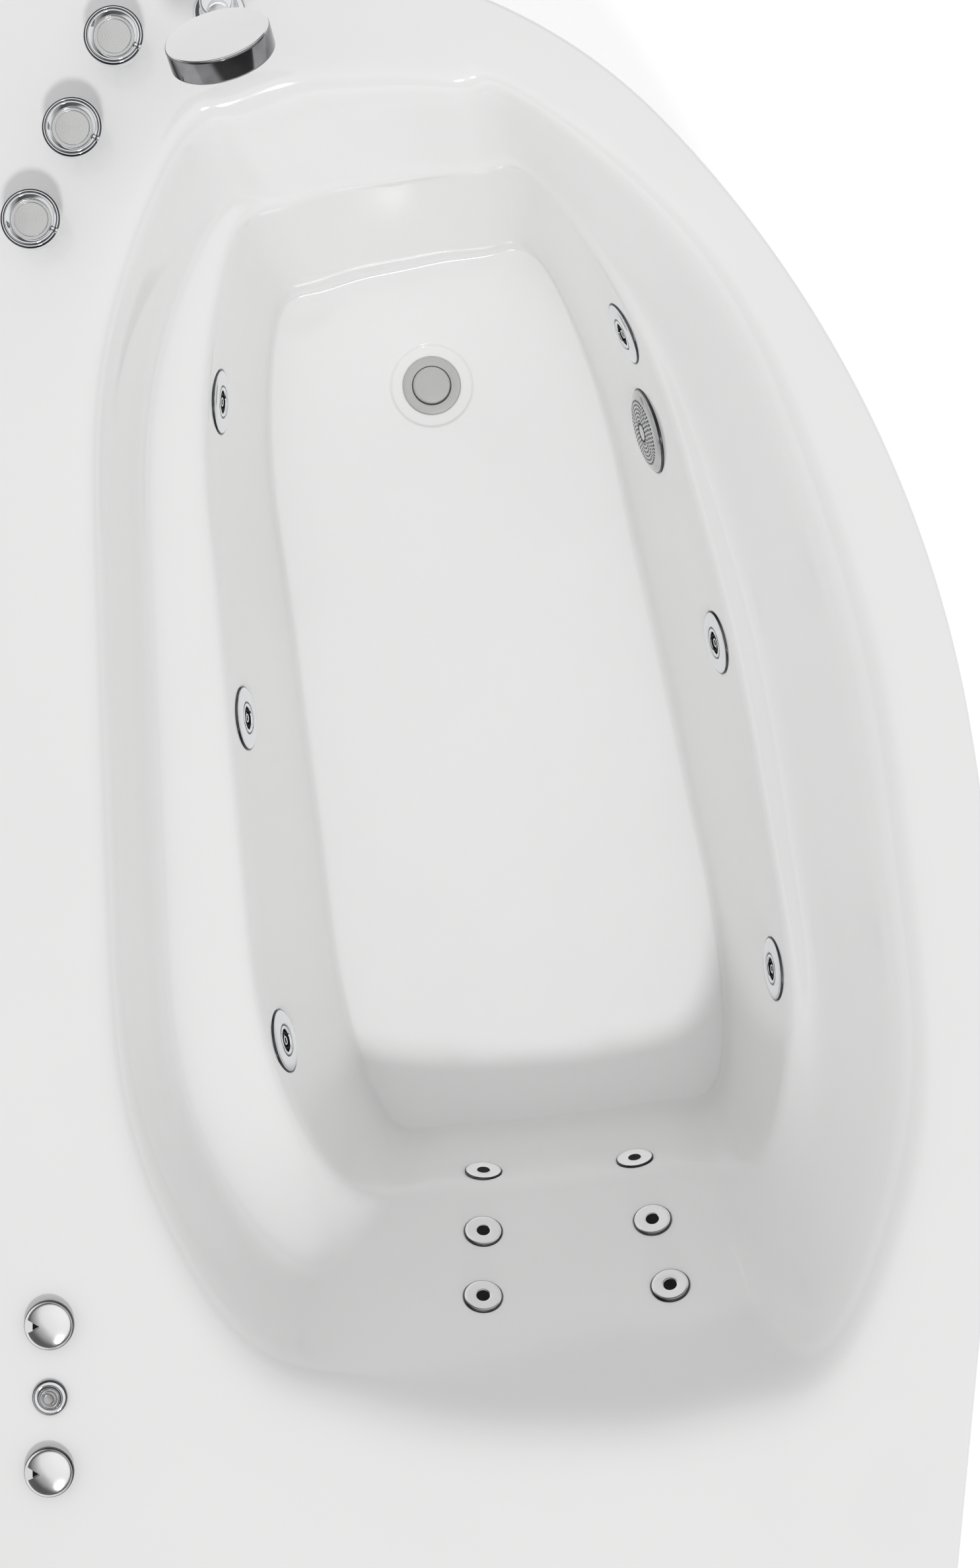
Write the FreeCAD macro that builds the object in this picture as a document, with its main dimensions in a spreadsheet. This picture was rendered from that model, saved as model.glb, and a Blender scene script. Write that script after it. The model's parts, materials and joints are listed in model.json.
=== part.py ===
import FreeCAD, Part
import math
import os
import re

import Sketcher

# A jetted bathtub: acrylic shell, water and air system, fittings, frame and apron.
# +X points to the tap end, +Y to the wall side, +Z up. The origin is on the ground
# under the middle of the tub. Millimetres and degrees.

Vector = FreeCAD.Vector
UP = Vector(0, 0, 1)
ALONG = Vector(1, 0, 0)
TO_WALL = Vector(0, 1, 0)

SIZES = {
    # whole tub
    "overall_length": 1700, "overall_width": 1045, "rim_height": 600, "basin_depth": 430,
    "shell_wall": 6, "lip_drop": 45,
    # curved front of the outline: three arcs, each with its own turn
    "corner_radius": 545, "corner_turn": 46,
    "front_radius": 1160, "front_turn": 34,
    "flank_radius": 1950, "flank_turn": 15.5,
    # deck widths round the basin, and lengths of the soft basin corners
    "deck_wall": 63, "deck_head": 99, "deck_foot": 89, "deck_front": 21,
    "head_corner_wall": 650, "head_corner_span": 560, "foot_corner_wall": 561,
    "foot_corner_span": 70, "front_corner_wall": 470,
    # floor: lengths along the tub and across it, and how far its head end shifts to the front
    "floor_foot_gap": 234, "floor_length": 986, "floor_foot_width": 373, "floor_head_width": 438,
    "floor_foot_shift": 95, "floor_skew": 185, "floor_slant": 70, "floor_corner": 105,
    # profile of the basin wall
    "knee_height": 285, "crease_height": 300, "head_knee_height": 165, "head_crease_height": 300,
    "corner_blend": 0.22, "floor_fillet": 45, "knee_fillet": 25, "crease_fillet": 45, "rim_fillet": 60,
    # flat seats in the basin wall
    "seat_depth": 0.4, "seat_margin": 1,
    # side jets
    "side_jet_height": 230, "wall_jet_foot": 431, "wall_jet_middle": 85, "wall_jet_head": -268,
    "front_jet_foot": 506, "front_jet_middle": 168, "front_jet_head": -189,
    "jet_ring_radius": 35, "jet_ring_thickness": 4.5, "jet_throat_radius": 21, "jet_throat_length": 26,
    "jet_ball_radius": 12.2, "jet_ball_band": 1.2, "jet_nozzle_radius": 9.5, "jet_nozzle_reach": 7,
    "jet_nozzle_bore": 5, "jet_ball_depth": 4, "jet_flange_depth": 12, "jet_body_radius": 27, "jet_body_length": 46,
    "jet_port_drop": 38, "jet_port_depth": 32, "air_port_depth": 60,
    "water_pipe_radius": 12.5, "air_pipe_radius": 7,
    # back jets
    "back_jet_low": 132, "back_jet_middle": 221, "back_jet_high": 293,
    "back_column_wall": 0, "back_column_front": -186, "back_column_splay": 14,
    "back_jet_radius": 21, "back_jet_thickness": 3.5, "back_jet_bore": 5.5, "back_jet_stem": 9,
    "back_jet_body": 15, "back_jet_length": 40,
    # suction
    "suction_along": 407, "suction_height": 180, "suction_cover_radius": 48, "suction_cover_rise": 9,
    "suction_slots": 16, "suction_body_radius": 24, "suction_body_bore": 21, "suction_body_length": 60,
    "suction_pipe_radius": 24, "suction_pipe_level": 85,
    # waste
    "drain_foot_gap": 362, "drain_across": 62, "drain_recess_radius": 49, "drain_recess_depth": 2.5,
    "drain_flange_radius": 35, "drain_pipe_radius": 24, "drain_bore_radius": 20.5,
    "drain_pipe_length": 60, "drain_nut_width": 62, "drain_nut_height": 12,
    "stopper_radius": 22, "stopper_height": 4, "stopper_stem": 4,
    "trap_radius": 33, "trap_height": 62, "trap_wall": 3, "trap_spigot_radius": 20, "trap_reach": 120, "trap_collar": 16,
    # deck fittings
    "tap_radius": 29.5, "tap_height": 44, "tap_recess_radius": 20.5, "tap_recess_depth": 5,
    "tap_band_height": 14, "tap_waist_radius": 14, "tap_waist_height": 12,
    "tap_base_height": 5, "tap_stem_radius": 7, "tap_shank_radius": 13,
    "tap_valve_radius": 21, "tap_valve_length": 62, "tap_inlet_radius": 10.3, "tap_inlet_length": 15,
    "tap_foot_gap": 94.5, "tap_wall_gap": 156.5, "tap_spacing_along": 91, "tap_spacing_across": 41.2,
    "tap_lever_radius": 3, "tap_lever_reach": 31, "tap_base_radius": 16,
    "holder_foot_gap": 59, "holder_wall_gap": 257.5, "holder_radius": 26.5, "holder_height": 38,
    "holder_stem_radius": 8, "holder_stem_length": 36, "holder_floor": 6,
    "shower_handle_radius": 11, "shower_head_radius": 51, "shower_head_thickness": 24,
    "shower_face_radius": 46.5, "shower_face_thickness": 3,
    "shower_rise": 141, "shower_lean": 85, "shower_yaw": 12.5, "shower_tilt": 46, "shower_head_yaw": 16,
    "control_head_gap": 244, "control_wall_gap": 86, "control_spacing": 74,
    "air_knob_radius": 25, "air_knob_height": 15, "air_knob_stem": 5, "air_flange_height": 2,
    "air_body_radius": 19, "air_body_length": 52,
    "button_radius": 11, "button_height": 7, "button_skirt": 12, "button_travel": 3,
    "button_ring_radius": 17.5, "button_ring_height": 5, "button_body_length": 40,
    # frame, board, feet
    "tube_size": 30, "frame_top": 149, "board_inset": 18, "board_hole_radius": 52,
    "rail_wall_side": 150, "rail_front_side": -190, "rail_foot_gap": 30, "rail_head_gap": 45,
    "bar_foot_gap": 250, "bar_middle": 100, "bar_head_gap": 420, "post_inset": 30,
    "shelf_rail": 450, "shelf_thickness": 3, "shelf_length": 280, "foot_hex": 38, "foot_height": 14,
    "stud_radius": 6, "stud_top": 140, "nut_hex": 19, "nut_height": 10,
    # apron
    "apron_inset": 8, "apron_wall": 4, "apron_clearance": 12, "apron_flange": 22,
    "screw_head_radius": 6, "screw_head_height": 2, "screw_radius": 2.4, "screw_length": 14,
    "screw_level": 25, "bracket_width": 50, "bracket_wall": 3, "bracket_leg": 45, "bracket_foot": 60,
    # pump
    "pump_head_gap": 222, "pump_across": 300, "pump_axis_height": 82, "motor_radius": 62,
    "motor_length": 165, "volute_radius": 70, "volute_length": 56, "volute_wall": 8,
    "impeller_radius": 50, "impeller_disc": 4, "impeller_blades": 6, "blade_height": 18, "blade_wall": 4,
    "shaft_radius": 8, "shaft_length": 40, "pump_inlet_radius": 30, "pump_inlet_bore": 21,
    "pump_inlet_length": 26, "pump_outlet_radius": 18, "pump_outlet_bore": 11, "pump_outlet_reach": 90,
    "pump_foot_length": 110, "pump_foot_width": 100, "pump_foot_height": 36, "terminal_box": 60,
    "control_box_length": 120, "control_box_width": 60, "control_box_height": 130, "control_box_across": 430,
    "control_tube_radius": 3,
    # plumbing routes
    "main_level": 343, "main_front_side": -405, "pipe_overrun": 32, "suction_pass": 34, "suction_clear": 52,
    "suction_head_gap": 360, "air_main_level": 375, "air_main_front_side": -450,
    # clearances
    "running_gap": 0.06, "free_gap": 0.3,
}

doc = FreeCAD.newDocument("jetted_bathtub")
sheet = doc.addObject("Spreadsheet::Sheet", "Sizes")
for row, (alias, number) in enumerate(SIZES.items(), 1):
    sheet.set(f"A{row}", alias)
    sheet.set(f"B{row}", str(number))
    sheet.setAlias(f"B{row}", alias)
doc.recompute()


class SheetSizes:
    """The numbers of the sheet, read by their names."""

    def __getattr__(self, alias):
        return float(sheet.get(alias))


size = SheetSizes()
parts = {}


# ---------------------------------------------------------------- helpers for bodies

def bound(text):
    """The expression with every size name pointing at the sheet."""
    return re.sub(r"[a-z][a-z_]+", lambda m: f"Sizes.{m.group()}" if m.group() in SIZES else m.group(), text)


def evaluate(text):
    """The number that an expression of sizes gives now."""
    return float(sheet.evalExpression(bound(text)))


def new_body(name):
    """An empty body with its own label."""
    body = doc.addObject("PartDesign::Body", name)
    body.Label = name
    return body


def sketch_on(body, role, name):
    """A sketch attached flat to one of the body's own origin planes."""
    sketch = body.newObject("Sketcher::SketchObject", name)
    plane = next(f for f in body.Origin.OriginFeatures if f.Role == role)
    sketch.AttachmentSupport = (plane, [""])
    sketch.MapMode = "FlatFace"
    return sketch


def pin_coordinate(sketch, line, kind, axis, text):
    """Hold one coordinate of a line's start point by an expression."""
    number = evaluate(text)
    if abs(number) < 1e-9:
        sketch.addConstraint(Sketcher.Constraint("PointOnObject", line, 1, axis))
        return
    index = sketch.addConstraint(Sketcher.Constraint(kind, -1, 1, line, 1, number))
    sketch.setExpression(f"Constraints[{index}]", bound(text))


def draw_outline(sketch, corners):
    """A closed outline of straight lines through corners given as pairs of expressions."""
    points = [Vector(evaluate(a), evaluate(b), 0) for a, b in corners]
    first = sketch.GeometryCount
    for start, end in zip(points, points[1:] + points[:1]):
        sketch.addGeometry(Part.LineSegment(start, end))
    count = len(points)
    for i in range(count):
        sketch.addConstraint(Sketcher.Constraint("Coincident", first + i, 2, first + (i + 1) % count, 1))
    for i, (across, upward) in enumerate(corners):
        pin_coordinate(sketch, first + i, "DistanceX", -2, across)
        pin_coordinate(sketch, first + i, "DistanceY", -1, upward)


def draw_circle(sketch, across, upward, radius):
    """A circle whose centre and radius follow expressions."""
    centre = Vector(evaluate(across), evaluate(upward), 0)
    line = sketch.addGeometry(Part.Circle(centre, Vector(0, 0, 1), evaluate(radius)))
    index = sketch.addConstraint(Sketcher.Constraint("Radius", line, evaluate(radius)))
    sketch.setExpression(f"Constraints[{index}]", bound(radius))
    for kind, axis, text, number in (("DistanceX", -2, across, centre.x), ("DistanceY", -1, upward, centre.y)):
        if abs(number) < 1e-9:
            sketch.addConstraint(Sketcher.Constraint("PointOnObject", line, 3, axis))
        else:
            index = sketch.addConstraint(Sketcher.Constraint(kind, -1, 1, line, 3, number))
            sketch.setExpression(f"Constraints[{index}]", bound(text))


def turned(name, profile, placement=None):
    """A body turned about its own Z axis from pairs (radius, height)."""
    body = new_body(name)
    sketch = sketch_on(body, "XZ_Plane", f"{name}_profile")
    draw_outline(sketch, profile)
    revolution = body.newObject("PartDesign::Revolution", f"{name}_turning")
    revolution.Profile = sketch
    revolution.ReferenceAxis = (sketch, ["V_Axis"])
    revolution.Angle = 360
    sketch.Visibility = False
    if placement:
        body.Placement = placement
    return body


def prism(body, name, corners, length, role="XY_Plane", offset="0", feature="Pad", reverse=False):
    """A pad or pocket of a straight-sided outline, from a height above the body's own plane."""
    sketch = sketch_on(body, role, f"{name}_outline")
    draw_outline(sketch, corners)
    return extrude(body, name, sketch, length, offset, feature, reverse)


def disc(body, name, centre, radius, length, role="XY_Plane", offset="0", feature="Pad", reverse=False):
    """A pad or pocket of a circle."""
    sketch = sketch_on(body, role, f"{name}_circle")
    draw_circle(sketch, centre[0], centre[1], radius)
    return extrude(body, name, sketch, length, offset, feature, reverse)


def extrude(body, name, sketch, length, offset, feature, reverse):
    """Pad or pocket a finished sketch that is lifted off its plane by an offset."""
    sketch.AttachmentOffset = FreeCAD.Placement(Vector(0, 0, evaluate(offset)), FreeCAD.Rotation())
    if offset != "0":
        sketch.setExpression("AttachmentOffset.Base.z", bound(offset))
    made = body.newObject(f"PartDesign::{feature}", name)
    made.Profile = sketch
    made.Length = evaluate(length)
    made.setExpression("Length", bound(length))
    made.Reversed = reverse
    sketch.Visibility = False
    return made


def ring_of(body, feature, copies):
    """Repeat a feature round the body's own Z axis."""
    pattern = body.newObject("PartDesign::PolarPattern", f"{feature.Name}_ring")
    pattern.Originals = [feature]
    axis = next(f for f in body.Origin.OriginFeatures if f.Role == "Z_Axis")
    pattern.Axis = (axis, [""])
    pattern.Angle = 360
    pattern.Occurrences = int(evaluate(copies))
    pattern.setExpression("Occurrences", bound(copies))
    body.Tip = pattern
    return pattern


def aimed(point, axis, along=ALONG):
    """A placement whose Z follows the axis and whose X stays as near to `along` as it can."""
    z = Vector(axis).normalize()
    x = along - z * along.dot(z)
    x.normalize()
    return FreeCAD.Placement(point, FreeCAD.Rotation(x, z.cross(x), z, "ZXY"))


def at(x, y, z):
    """A placement without any turn."""
    return FreeCAD.Placement(Vector(x, y, z), FreeCAD.Rotation())


def keep(node, thing):
    """Make this object the node that is written to the file of the same name."""
    thing.Label = node
    parts[node] = thing
    return thing


def group(node, bodies):
    """Identical pieces as one node of separate solids."""
    compound = doc.addObject("Part::Compound", f"{node}_group")
    compound.Links = bodies
    return keep(node, compound)


def shaped(node, shape):
    """A piece whose form is worked out from curves and surfaces."""
    feature = doc.addObject("Part::Feature", node)
    feature.Shape = shape
    return keep(node, feature)


def box(name, low, high):
    """A Part::Box between two corners given as triples of expressions."""
    made = doc.addObject("Part::Box", name)
    for prop, start, end in zip(("Length", "Width", "Height"), low, high):
        setattr(made, prop, evaluate(f"({end}) - ({start})"))
        made.setExpression(prop, bound(f"({end}) - ({start})"))
    made.Placement = at(*(evaluate(text) for text in low))
    for axis, text in zip("xyz", low):
        made.setExpression(f"Placement.Base.{axis}", bound(text))
    return made


def joined(name, things):
    """One piece fused from several."""
    made = doc.addObject("Part::MultiFuse", name)
    made.Shapes = things
    return made


def less(name, base, tool):
    """The base with the tool taken away."""
    made = doc.addObject("Part::Cut", name)
    made.Base = base
    made.Tool = tool
    return made


# ---------------------------------------------------------------- outline of the tub

class Outline:
    """The foot end and the curved front: straight and arc legs, each tangent to the last."""

    def __init__(self):
        turns = [math.radians(a) for a in (size.corner_turn, size.front_turn, size.flank_turn)]
        radii = [size.corner_radius, size.front_radius, size.flank_radius]
        heading = 0.0
        sideways = 0.0
        headways = 0.0
        for radius, turn in zip(radii, turns):
            crest = min(heading + turn, math.pi / 2)
            sideways += radius * (math.sin(crest) - math.sin(heading))
            headways += radius * (math.cos(heading) - math.cos(heading + turn))
            heading += turn
        self.straight = size.overall_width - sideways
        last = (size.overall_length - headways) / math.cos(heading - math.pi / 2)
        self.corner_length = radii[0] * turns[0]
        legs = [(self.straight, 0.0)]
        legs += [(r * t, 1 / r) for r, t in zip(radii, turns)]
        legs += [(last, 0.0)]
        self.legs = []
        place = (size.overall_length / 2, size.overall_width / 2, -math.pi / 2)
        for length, bend in legs:
            self.legs.append((place, length, bend))
            place = self.step(place, length, bend)
        self.length = sum(leg[1] for leg in self.legs)
        self.end = place

    @staticmethod
    def step(place, run, bend):
        """The place after a run along a leg that turns right with this bend."""
        x, y, a = place
        if bend == 0:
            return x + run * math.cos(a), y + run * math.sin(a), a
        b = a - run * bend
        return x + (math.sin(a) - math.sin(b)) / bend, y - (math.cos(a) - math.cos(b)) / bend, b

    def place(self, run):
        """Position and heading at a distance along the outline."""
        for start, length, bend in self.legs[:-1]:
            if run <= length:
                return self.step(start, run, bend)
            run -= length
        start, length, bend = self.legs[-1]
        return self.step(start, run, bend)

    def inside(self, run, inset):
        """The point that lies this far inside the outline."""
        x, y, a = self.place(run)
        return x + inset * math.sin(a), y - inset * math.cos(a)

    def run_at(self, along):
        """The distance at which the curved front passes this place along the tub."""
        low, high = self.straight, self.length
        for _ in range(40):
            middle = (low + high) / 2
            if self.place(middle)[0] > along:
                low = middle
            else:
                high = middle
        return low

    def edges(self, inset, level):
        """Edges of the foot end and front at this inset and height."""
        made = []
        run = 0.0
        for start, length, bend in self.legs:
            points = []
            for share in (0.0, 0.5, 1.0):
                x, y, a = self.step(start, length * share, bend)
                points.append(Vector(x + inset * math.sin(a), y - inset * math.cos(a), level))
            if bend:
                made.append(Part.Arc(*points).toShape())
            else:
                made.append(Part.LineSegment(points[0], points[2]).toShape())
            run += length
        return made

    def wire(self, inset, level):
        """The whole outline, closed round the wall side, at this inset and height."""
        x, y, a = self.end
        half_length = size.overall_length / 2 - inset
        half_width = size.overall_width / 2 - inset
        curved = self.edges(inset, level)
        start = Vector(half_length, half_width, level)
        begin = Vector(half_length, self.legs[0][0][1] - self.legs[0][1], level)
        slide = (half_length - inset * math.sin(a) + x) / math.cos(a)
        finish_y = y - inset * math.cos(a) - slide * math.sin(a)
        finish = Vector(-half_length, finish_y, level)
        corner = Vector(-half_length, half_width, level)
        sides = [Part.LineSegment(start, begin).toShape()]
        sides += curved[1:-1]
        sides += [Part.LineSegment(curved[-1].Vertexes[0].Point, finish).toShape()]
        sides += [Part.LineSegment(finish, corner).toShape(), Part.LineSegment(corner, start).toShape()]
        return Part.Wire(sides)


outline = Outline()


# ---------------------------------------------------------------- basin

def smooth(share):
    """A soft step from 0 to 1."""
    share = min(max(share, 0.0), 1.0)
    return share * share * (3 - 2 * share)


def mix(p, q, share):
    """The point this share of the way from p to q."""
    return p[0] + (q[0] - p[0]) * share, p[1] + (q[1] - p[1]) * share


def swing(p, apex, q, share):
    """A point on the soft corner that leaves p and reaches q along the lines through the apex."""
    return mix(mix(p, apex, share), mix(apex, q, share), share)


def distance(p, q):
    """Plan distance between two points."""
    return math.hypot(q[0] - p[0], q[1] - p[1])


def direction(p, q):
    """Unit step from p towards q."""
    reach = distance(p, q)
    return (q[0] - p[0]) / reach, (q[1] - p[1]) / reach


def along_line(p, angle, reach):
    """The point at this reach from p in this direction."""
    return p[0] + reach * math.cos(angle), p[1] + reach * math.sin(angle)


SIDES = ("wall", "foot", "front", "head")
SAMPLES = 60
COLUMNS = 6
# places up the wall profile, in its own spans, where one ruled band ends and the next begins
BAND_ENDS = (0, 0.6, 1.4, 2.0, 2.7, 3.4, 4.6, 6.4, 7.6, 8.2, 8.8, 9.4, 10.3, 11)


class Basin:
    """Rim and floor of the basin as two loops, joined by wall profiles column by column."""

    def __init__(self):
        self.rim, self.floor = self.columns()

    def front_rim(self, run):
        """Rim of the basin beside the curved front, whose deck narrows from the foot end."""
        turned_share = smooth((run - outline.straight) / (outline.corner_length * 1.25))
        return outline.inside(run, size.deck_foot + (size.deck_front - size.deck_foot) * turned_share)

    def rim_loop(self):
        """Dense points of the rim and the apexes of its four corners."""
        wall = size.overall_width / 2 - size.deck_wall
        head = size.deck_head - size.overall_length / 2
        foot_run = outline.straight + size.foot_corner_span
        head_run = outline.length - size.front_corner_wall
        foot_point = self.front_rim(foot_run)
        head_point = self.front_rim(head_run)
        foot_heading = outline.place(foot_run)[2]
        head_heading = outline.place(head_run)[2]
        foot_reach = (wall - foot_point[1]) / math.sin(foot_heading)
        head_reach = (head - head_point[0]) / math.cos(head_heading)
        wall_foot_apex = along_line(foot_point, foot_heading, foot_reach)
        head_front_apex = along_line(head_point, head_heading, head_reach)
        head_wall_apex = (head, wall)
        head_middle = (head, wall - size.head_corner_span)
        wall_start = (head + size.head_corner_wall - size.deck_head, wall)
        wall_end = (foot_point[0] - size.foot_corner_wall, wall)
        loop = []
        for i in range(SAMPLES):
            loop.append(mix(wall_start, wall_end, i / SAMPLES))
        for i in range(SAMPLES):
            loop.append(swing(wall_end, wall_foot_apex, foot_point, i / SAMPLES))
        for i in range(2 * SAMPLES):
            loop.append(self.front_rim(foot_run + (head_run - foot_run) * i / (2 * SAMPLES)))
        for i in range(SAMPLES):
            loop.append(swing(head_point, head_front_apex, head_middle, i / SAMPLES))
        for i in range(SAMPLES):
            loop.append(swing(head_middle, head_wall_apex, wall_start, i / SAMPLES))
        turn = self.front_rim(outline.straight + outline.corner_length * 0.62)
        return loop, (head_wall_apex, wall_foot_apex, turn, head_front_apex)

    def floor_loop(self):
        """Dense points of the flat floor and its four corners."""
        foot = size.overall_length / 2 - size.floor_foot_gap
        head = foot - size.floor_length
        middle = size.floor_foot_shift
        lean = size.floor_slant / 2
        corners = (
            (head - lean * 0.8, middle - size.floor_skew + size.floor_head_width / 2),
            (foot - lean * 1.2, middle + size.floor_foot_width / 2 - 13),
            (foot + lean * 1.2, middle - size.floor_foot_width / 2),
            (head + lean * 0.8, middle - size.floor_skew - size.floor_head_width / 2))
        loop = []
        for i, corner in enumerate(corners):
            before = direction(corner, corners[i - 1])
            after = direction(corner, corners[(i + 1) % 4])
            cut = size.floor_corner
            start = (corner[0] + before[0] * cut, corner[1] + before[1] * cut)
            end = (corner[0] + after[0] * cut, corner[1] + after[1] * cut)
            back = direction(corners[(i + 1) % 4], corner)
            stop = (corners[(i + 1) % 4][0] + back[0] * cut, corners[(i + 1) % 4][1] + back[1] * cut)
            loop += [swing(start, corner, end, k / SAMPLES) for k in range(SAMPLES)]
            loop += [mix(end, stop, k / SAMPLES) for k in range(SAMPLES)]
        return loop, corners

    @staticmethod
    def resample(loop, corners):
        """Equal steps along each of the four sides between the points nearest to the corners."""
        marks = [min(range(len(loop)), key=lambda i: distance(loop[i], corner)) for corner in corners]
        count = len(loop)
        picked = []
        for side in range(4):
            start, end = marks[side], marks[(side + 1) % 4]
            if end <= start:
                end += count
            chain = [loop[i % count] for i in range(start, end + 1)]
            reach = [0.0]
            for p, q in zip(chain, chain[1:]):
                reach.append(reach[-1] + distance(p, q))
            for step in range(COLUMNS):
                goal = reach[-1] * step / COLUMNS
                i = max(k for k in range(len(reach) - 1) if reach[k] <= goal + 1e-9)
                share = (goal - reach[i]) / (reach[i + 1] - reach[i])
                picked.append(mix(chain[i], chain[i + 1], share))
        return picked

    def columns(self):
        """Matching rim and floor points."""
        return self.resample(*self.rim_loop()), self.resample(*self.floor_loop())

    @staticmethod
    def profile_of(side):
        """Apexes of the wall profile on one side: share of the way out, height above the floor."""
        low, high = size.knee_height, size.crease_height
        if side == "head":
            low, high = size.head_knee_height, size.head_crease_height
        shares = {
            "wall": (0.062, 0.272, 0.584, 0.70),
            "foot": (0.10, 0.274, 0.34, 0.69),
            "front": (0.058, 0.267, 0.38, 0.73),
            "head": (0.041, 0.164, 0.45, 0.74)}[side]
        return tuple(zip(shares, (0.0, low, high, size.basin_depth)))

    def apexes(self, column):
        """Wall profile of a column, blended with the next side towards the corners."""
        side, step = divmod(column, COLUMNS)
        share = step / COLUMNS
        other = SIDES[side - 1] if share < 0.5 else SIDES[(side + 1) % 4]
        weight = 0.5 + 0.5 * smooth(min(share, 1 - share) / size.corner_blend)
        own, beside = self.profile_of(SIDES[side]), self.profile_of(other)
        run = distance(self.floor[column], self.rim[column])
        points = [(0.0, 0.0)]
        for p, q in zip(own, beside):
            out, height = mix(q, p, weight)
            points.append((out * run, height))
        points.append((run, size.basin_depth))
        return points

    @staticmethod
    def thickened(points, wall):
        """The profile moved outwards by the wall thickness."""
        lines = []
        for p, q in zip(points, points[1:]):
            u = direction(p, q)
            lines.append(((p[0] + u[1] * wall, p[1] - u[0] * wall), u))
        moved = [lines[0][0]]
        for (p, u), (q, v) in zip(lines, lines[1:]):
            cross = u[0] * v[1] - u[1] * v[0]
            if abs(cross) < 1e-6:
                moved.append(q)
                continue
            reach = ((q[0] - p[0]) * v[1] - (q[1] - p[1]) * v[0]) / cross
            moved.append((p[0] + u[0] * reach, p[1] + u[1] * reach))
        moved.append((points[-1][0], points[-1][1] - wall))
        return moved

    @staticmethod
    def softened(points):
        """Poles that keep the rounding of each apex within its fillet."""
        fillets = (size.floor_fillet, size.knee_fillet, size.crease_fillet, size.rim_fillet)
        poles = [points[0]]
        for i, fillet in enumerate(fillets, 1):
            for neighbour in (points[i - 1], None, points[i + 1]):
                if neighbour is None:
                    poles.append(points[i])
                    continue
                u = direction(points[i], neighbour)
                cut = min(fillet, 0.45 * distance(points[i], neighbour))
                poles.append((points[i][0] + u[0] * cut, points[i][1] + u[1] * cut))
        poles.append(points[-1])
        return poles

    def rows(self, wall):
        """Rings of points up the skin, from the floor edge to the rim."""
        rings = [[] for _ in BAND_ENDS]
        base = size.rim_height - size.basin_depth
        for column, (foot, head) in enumerate(zip(self.floor, self.rim)):
            apexes = self.apexes(column)
            poles = self.softened(self.thickened(apexes, wall) if wall else apexes)
            u = direction(foot, head)
            spots = [Vector(foot[0] + u[0] * out, foot[1] + u[1] * out, base + up) for out, up in poles]
            spans = len(spots) - 3
            curve = Part.BSplineCurve()
            curve.buildFromPolesMultsKnots(spots, [4] + [1] * (spans - 1) + [4], list(range(spans + 1)), False, 3)
            for end, ring in zip(BAND_ENDS, rings):
                ring.append(curve.value(end))
        return rings

    def skin(self, wall):
        """Faces of one skin, its floor ring and its rim ring."""
        rings = []
        for ring in self.rows(wall):
            curve = Part.BSplineCurve()
            times = [float(i) for i in range(len(ring) + 1)]
            curve.interpolate(Points=ring, PeriodicFlag=True, Parameters=times)
            rings.append(curve.toShape())
        faces = [Part.makeRuledSurface(low, high) for low, high in zip(rings, rings[1:])]
        return faces, rings[0], rings[-1]


def ringed_face(outer, inner):
    """A flat face between two closed wires."""
    return Part.makeFace([outer, inner], "Part::FaceMakerBullseye")


def plain_shell(basin):
    """The moulded shell before any hole is drilled."""
    top = size.rim_height
    wall = size.shell_wall
    inner, inner_floor, inner_rim = basin.skin(0)
    outer, outer_floor, outer_rim = basin.skin(wall)
    deck_edge = outline.wire(0, top)
    lip_edge = outline.wire(wall, top - wall)
    lip_foot_outer = outline.wire(0, top - size.lip_drop)
    lip_foot_inner = outline.wire(wall, top - size.lip_drop)
    faces = inner + outer
    faces += [Part.Face(Part.Wire([inner_floor])), Part.Face(Part.Wire([outer_floor]))]
    faces += [ringed_face(deck_edge, Part.Wire([inner_rim])), ringed_face(lip_edge, Part.Wire([outer_rim]))]
    faces += deck_edge.extrude(UP * -size.lip_drop).Faces
    faces += lip_edge.extrude(UP * (wall - size.lip_drop)).Faces
    faces += [ringed_face(lip_foot_outer, lip_foot_inner)]
    flat = []
    for face in faces:
        flat += face.Faces
    shell = Part.makeShell(flat)
    shell.sewShape()
    solid = Part.makeSolid(shell)
    if solid.Volume < 0:
        solid.reverse()
    return solid, Part.makeCompound(inner)


basin = Basin()
bare_shell, wet_skin = plain_shell(basin)


def struck(start, toward):
    """Where a ray from inside the basin meets its wet skin."""
    reach = size.overall_length
    ray = Part.LineSegment(start, start + toward * reach).toShape()
    hits = wet_skin.section(ray).Vertexes
    return min((hit.Point for hit in hits), key=lambda point: point.distanceToPoint(start))


SEAT_PROBE = 25.0


def seat_on(start, toward, level):
    """A flat seat on the wall: its middle and its normal into the basin."""
    probe = toward.cross(UP) * SEAT_PROBE
    base = Vector(start.x, start.y, level)
    middle = struck(base, toward)
    across = struck(base + probe, toward) - struck(base - probe, toward)
    upward = struck(base + UP * SEAT_PROBE, toward) - struck(base - UP * SEAT_PROBE, toward)
    normal = across.cross(upward)
    normal.normalize()
    if normal.dot(toward) > 0:
        normal = normal * -1
    return middle, normal


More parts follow.
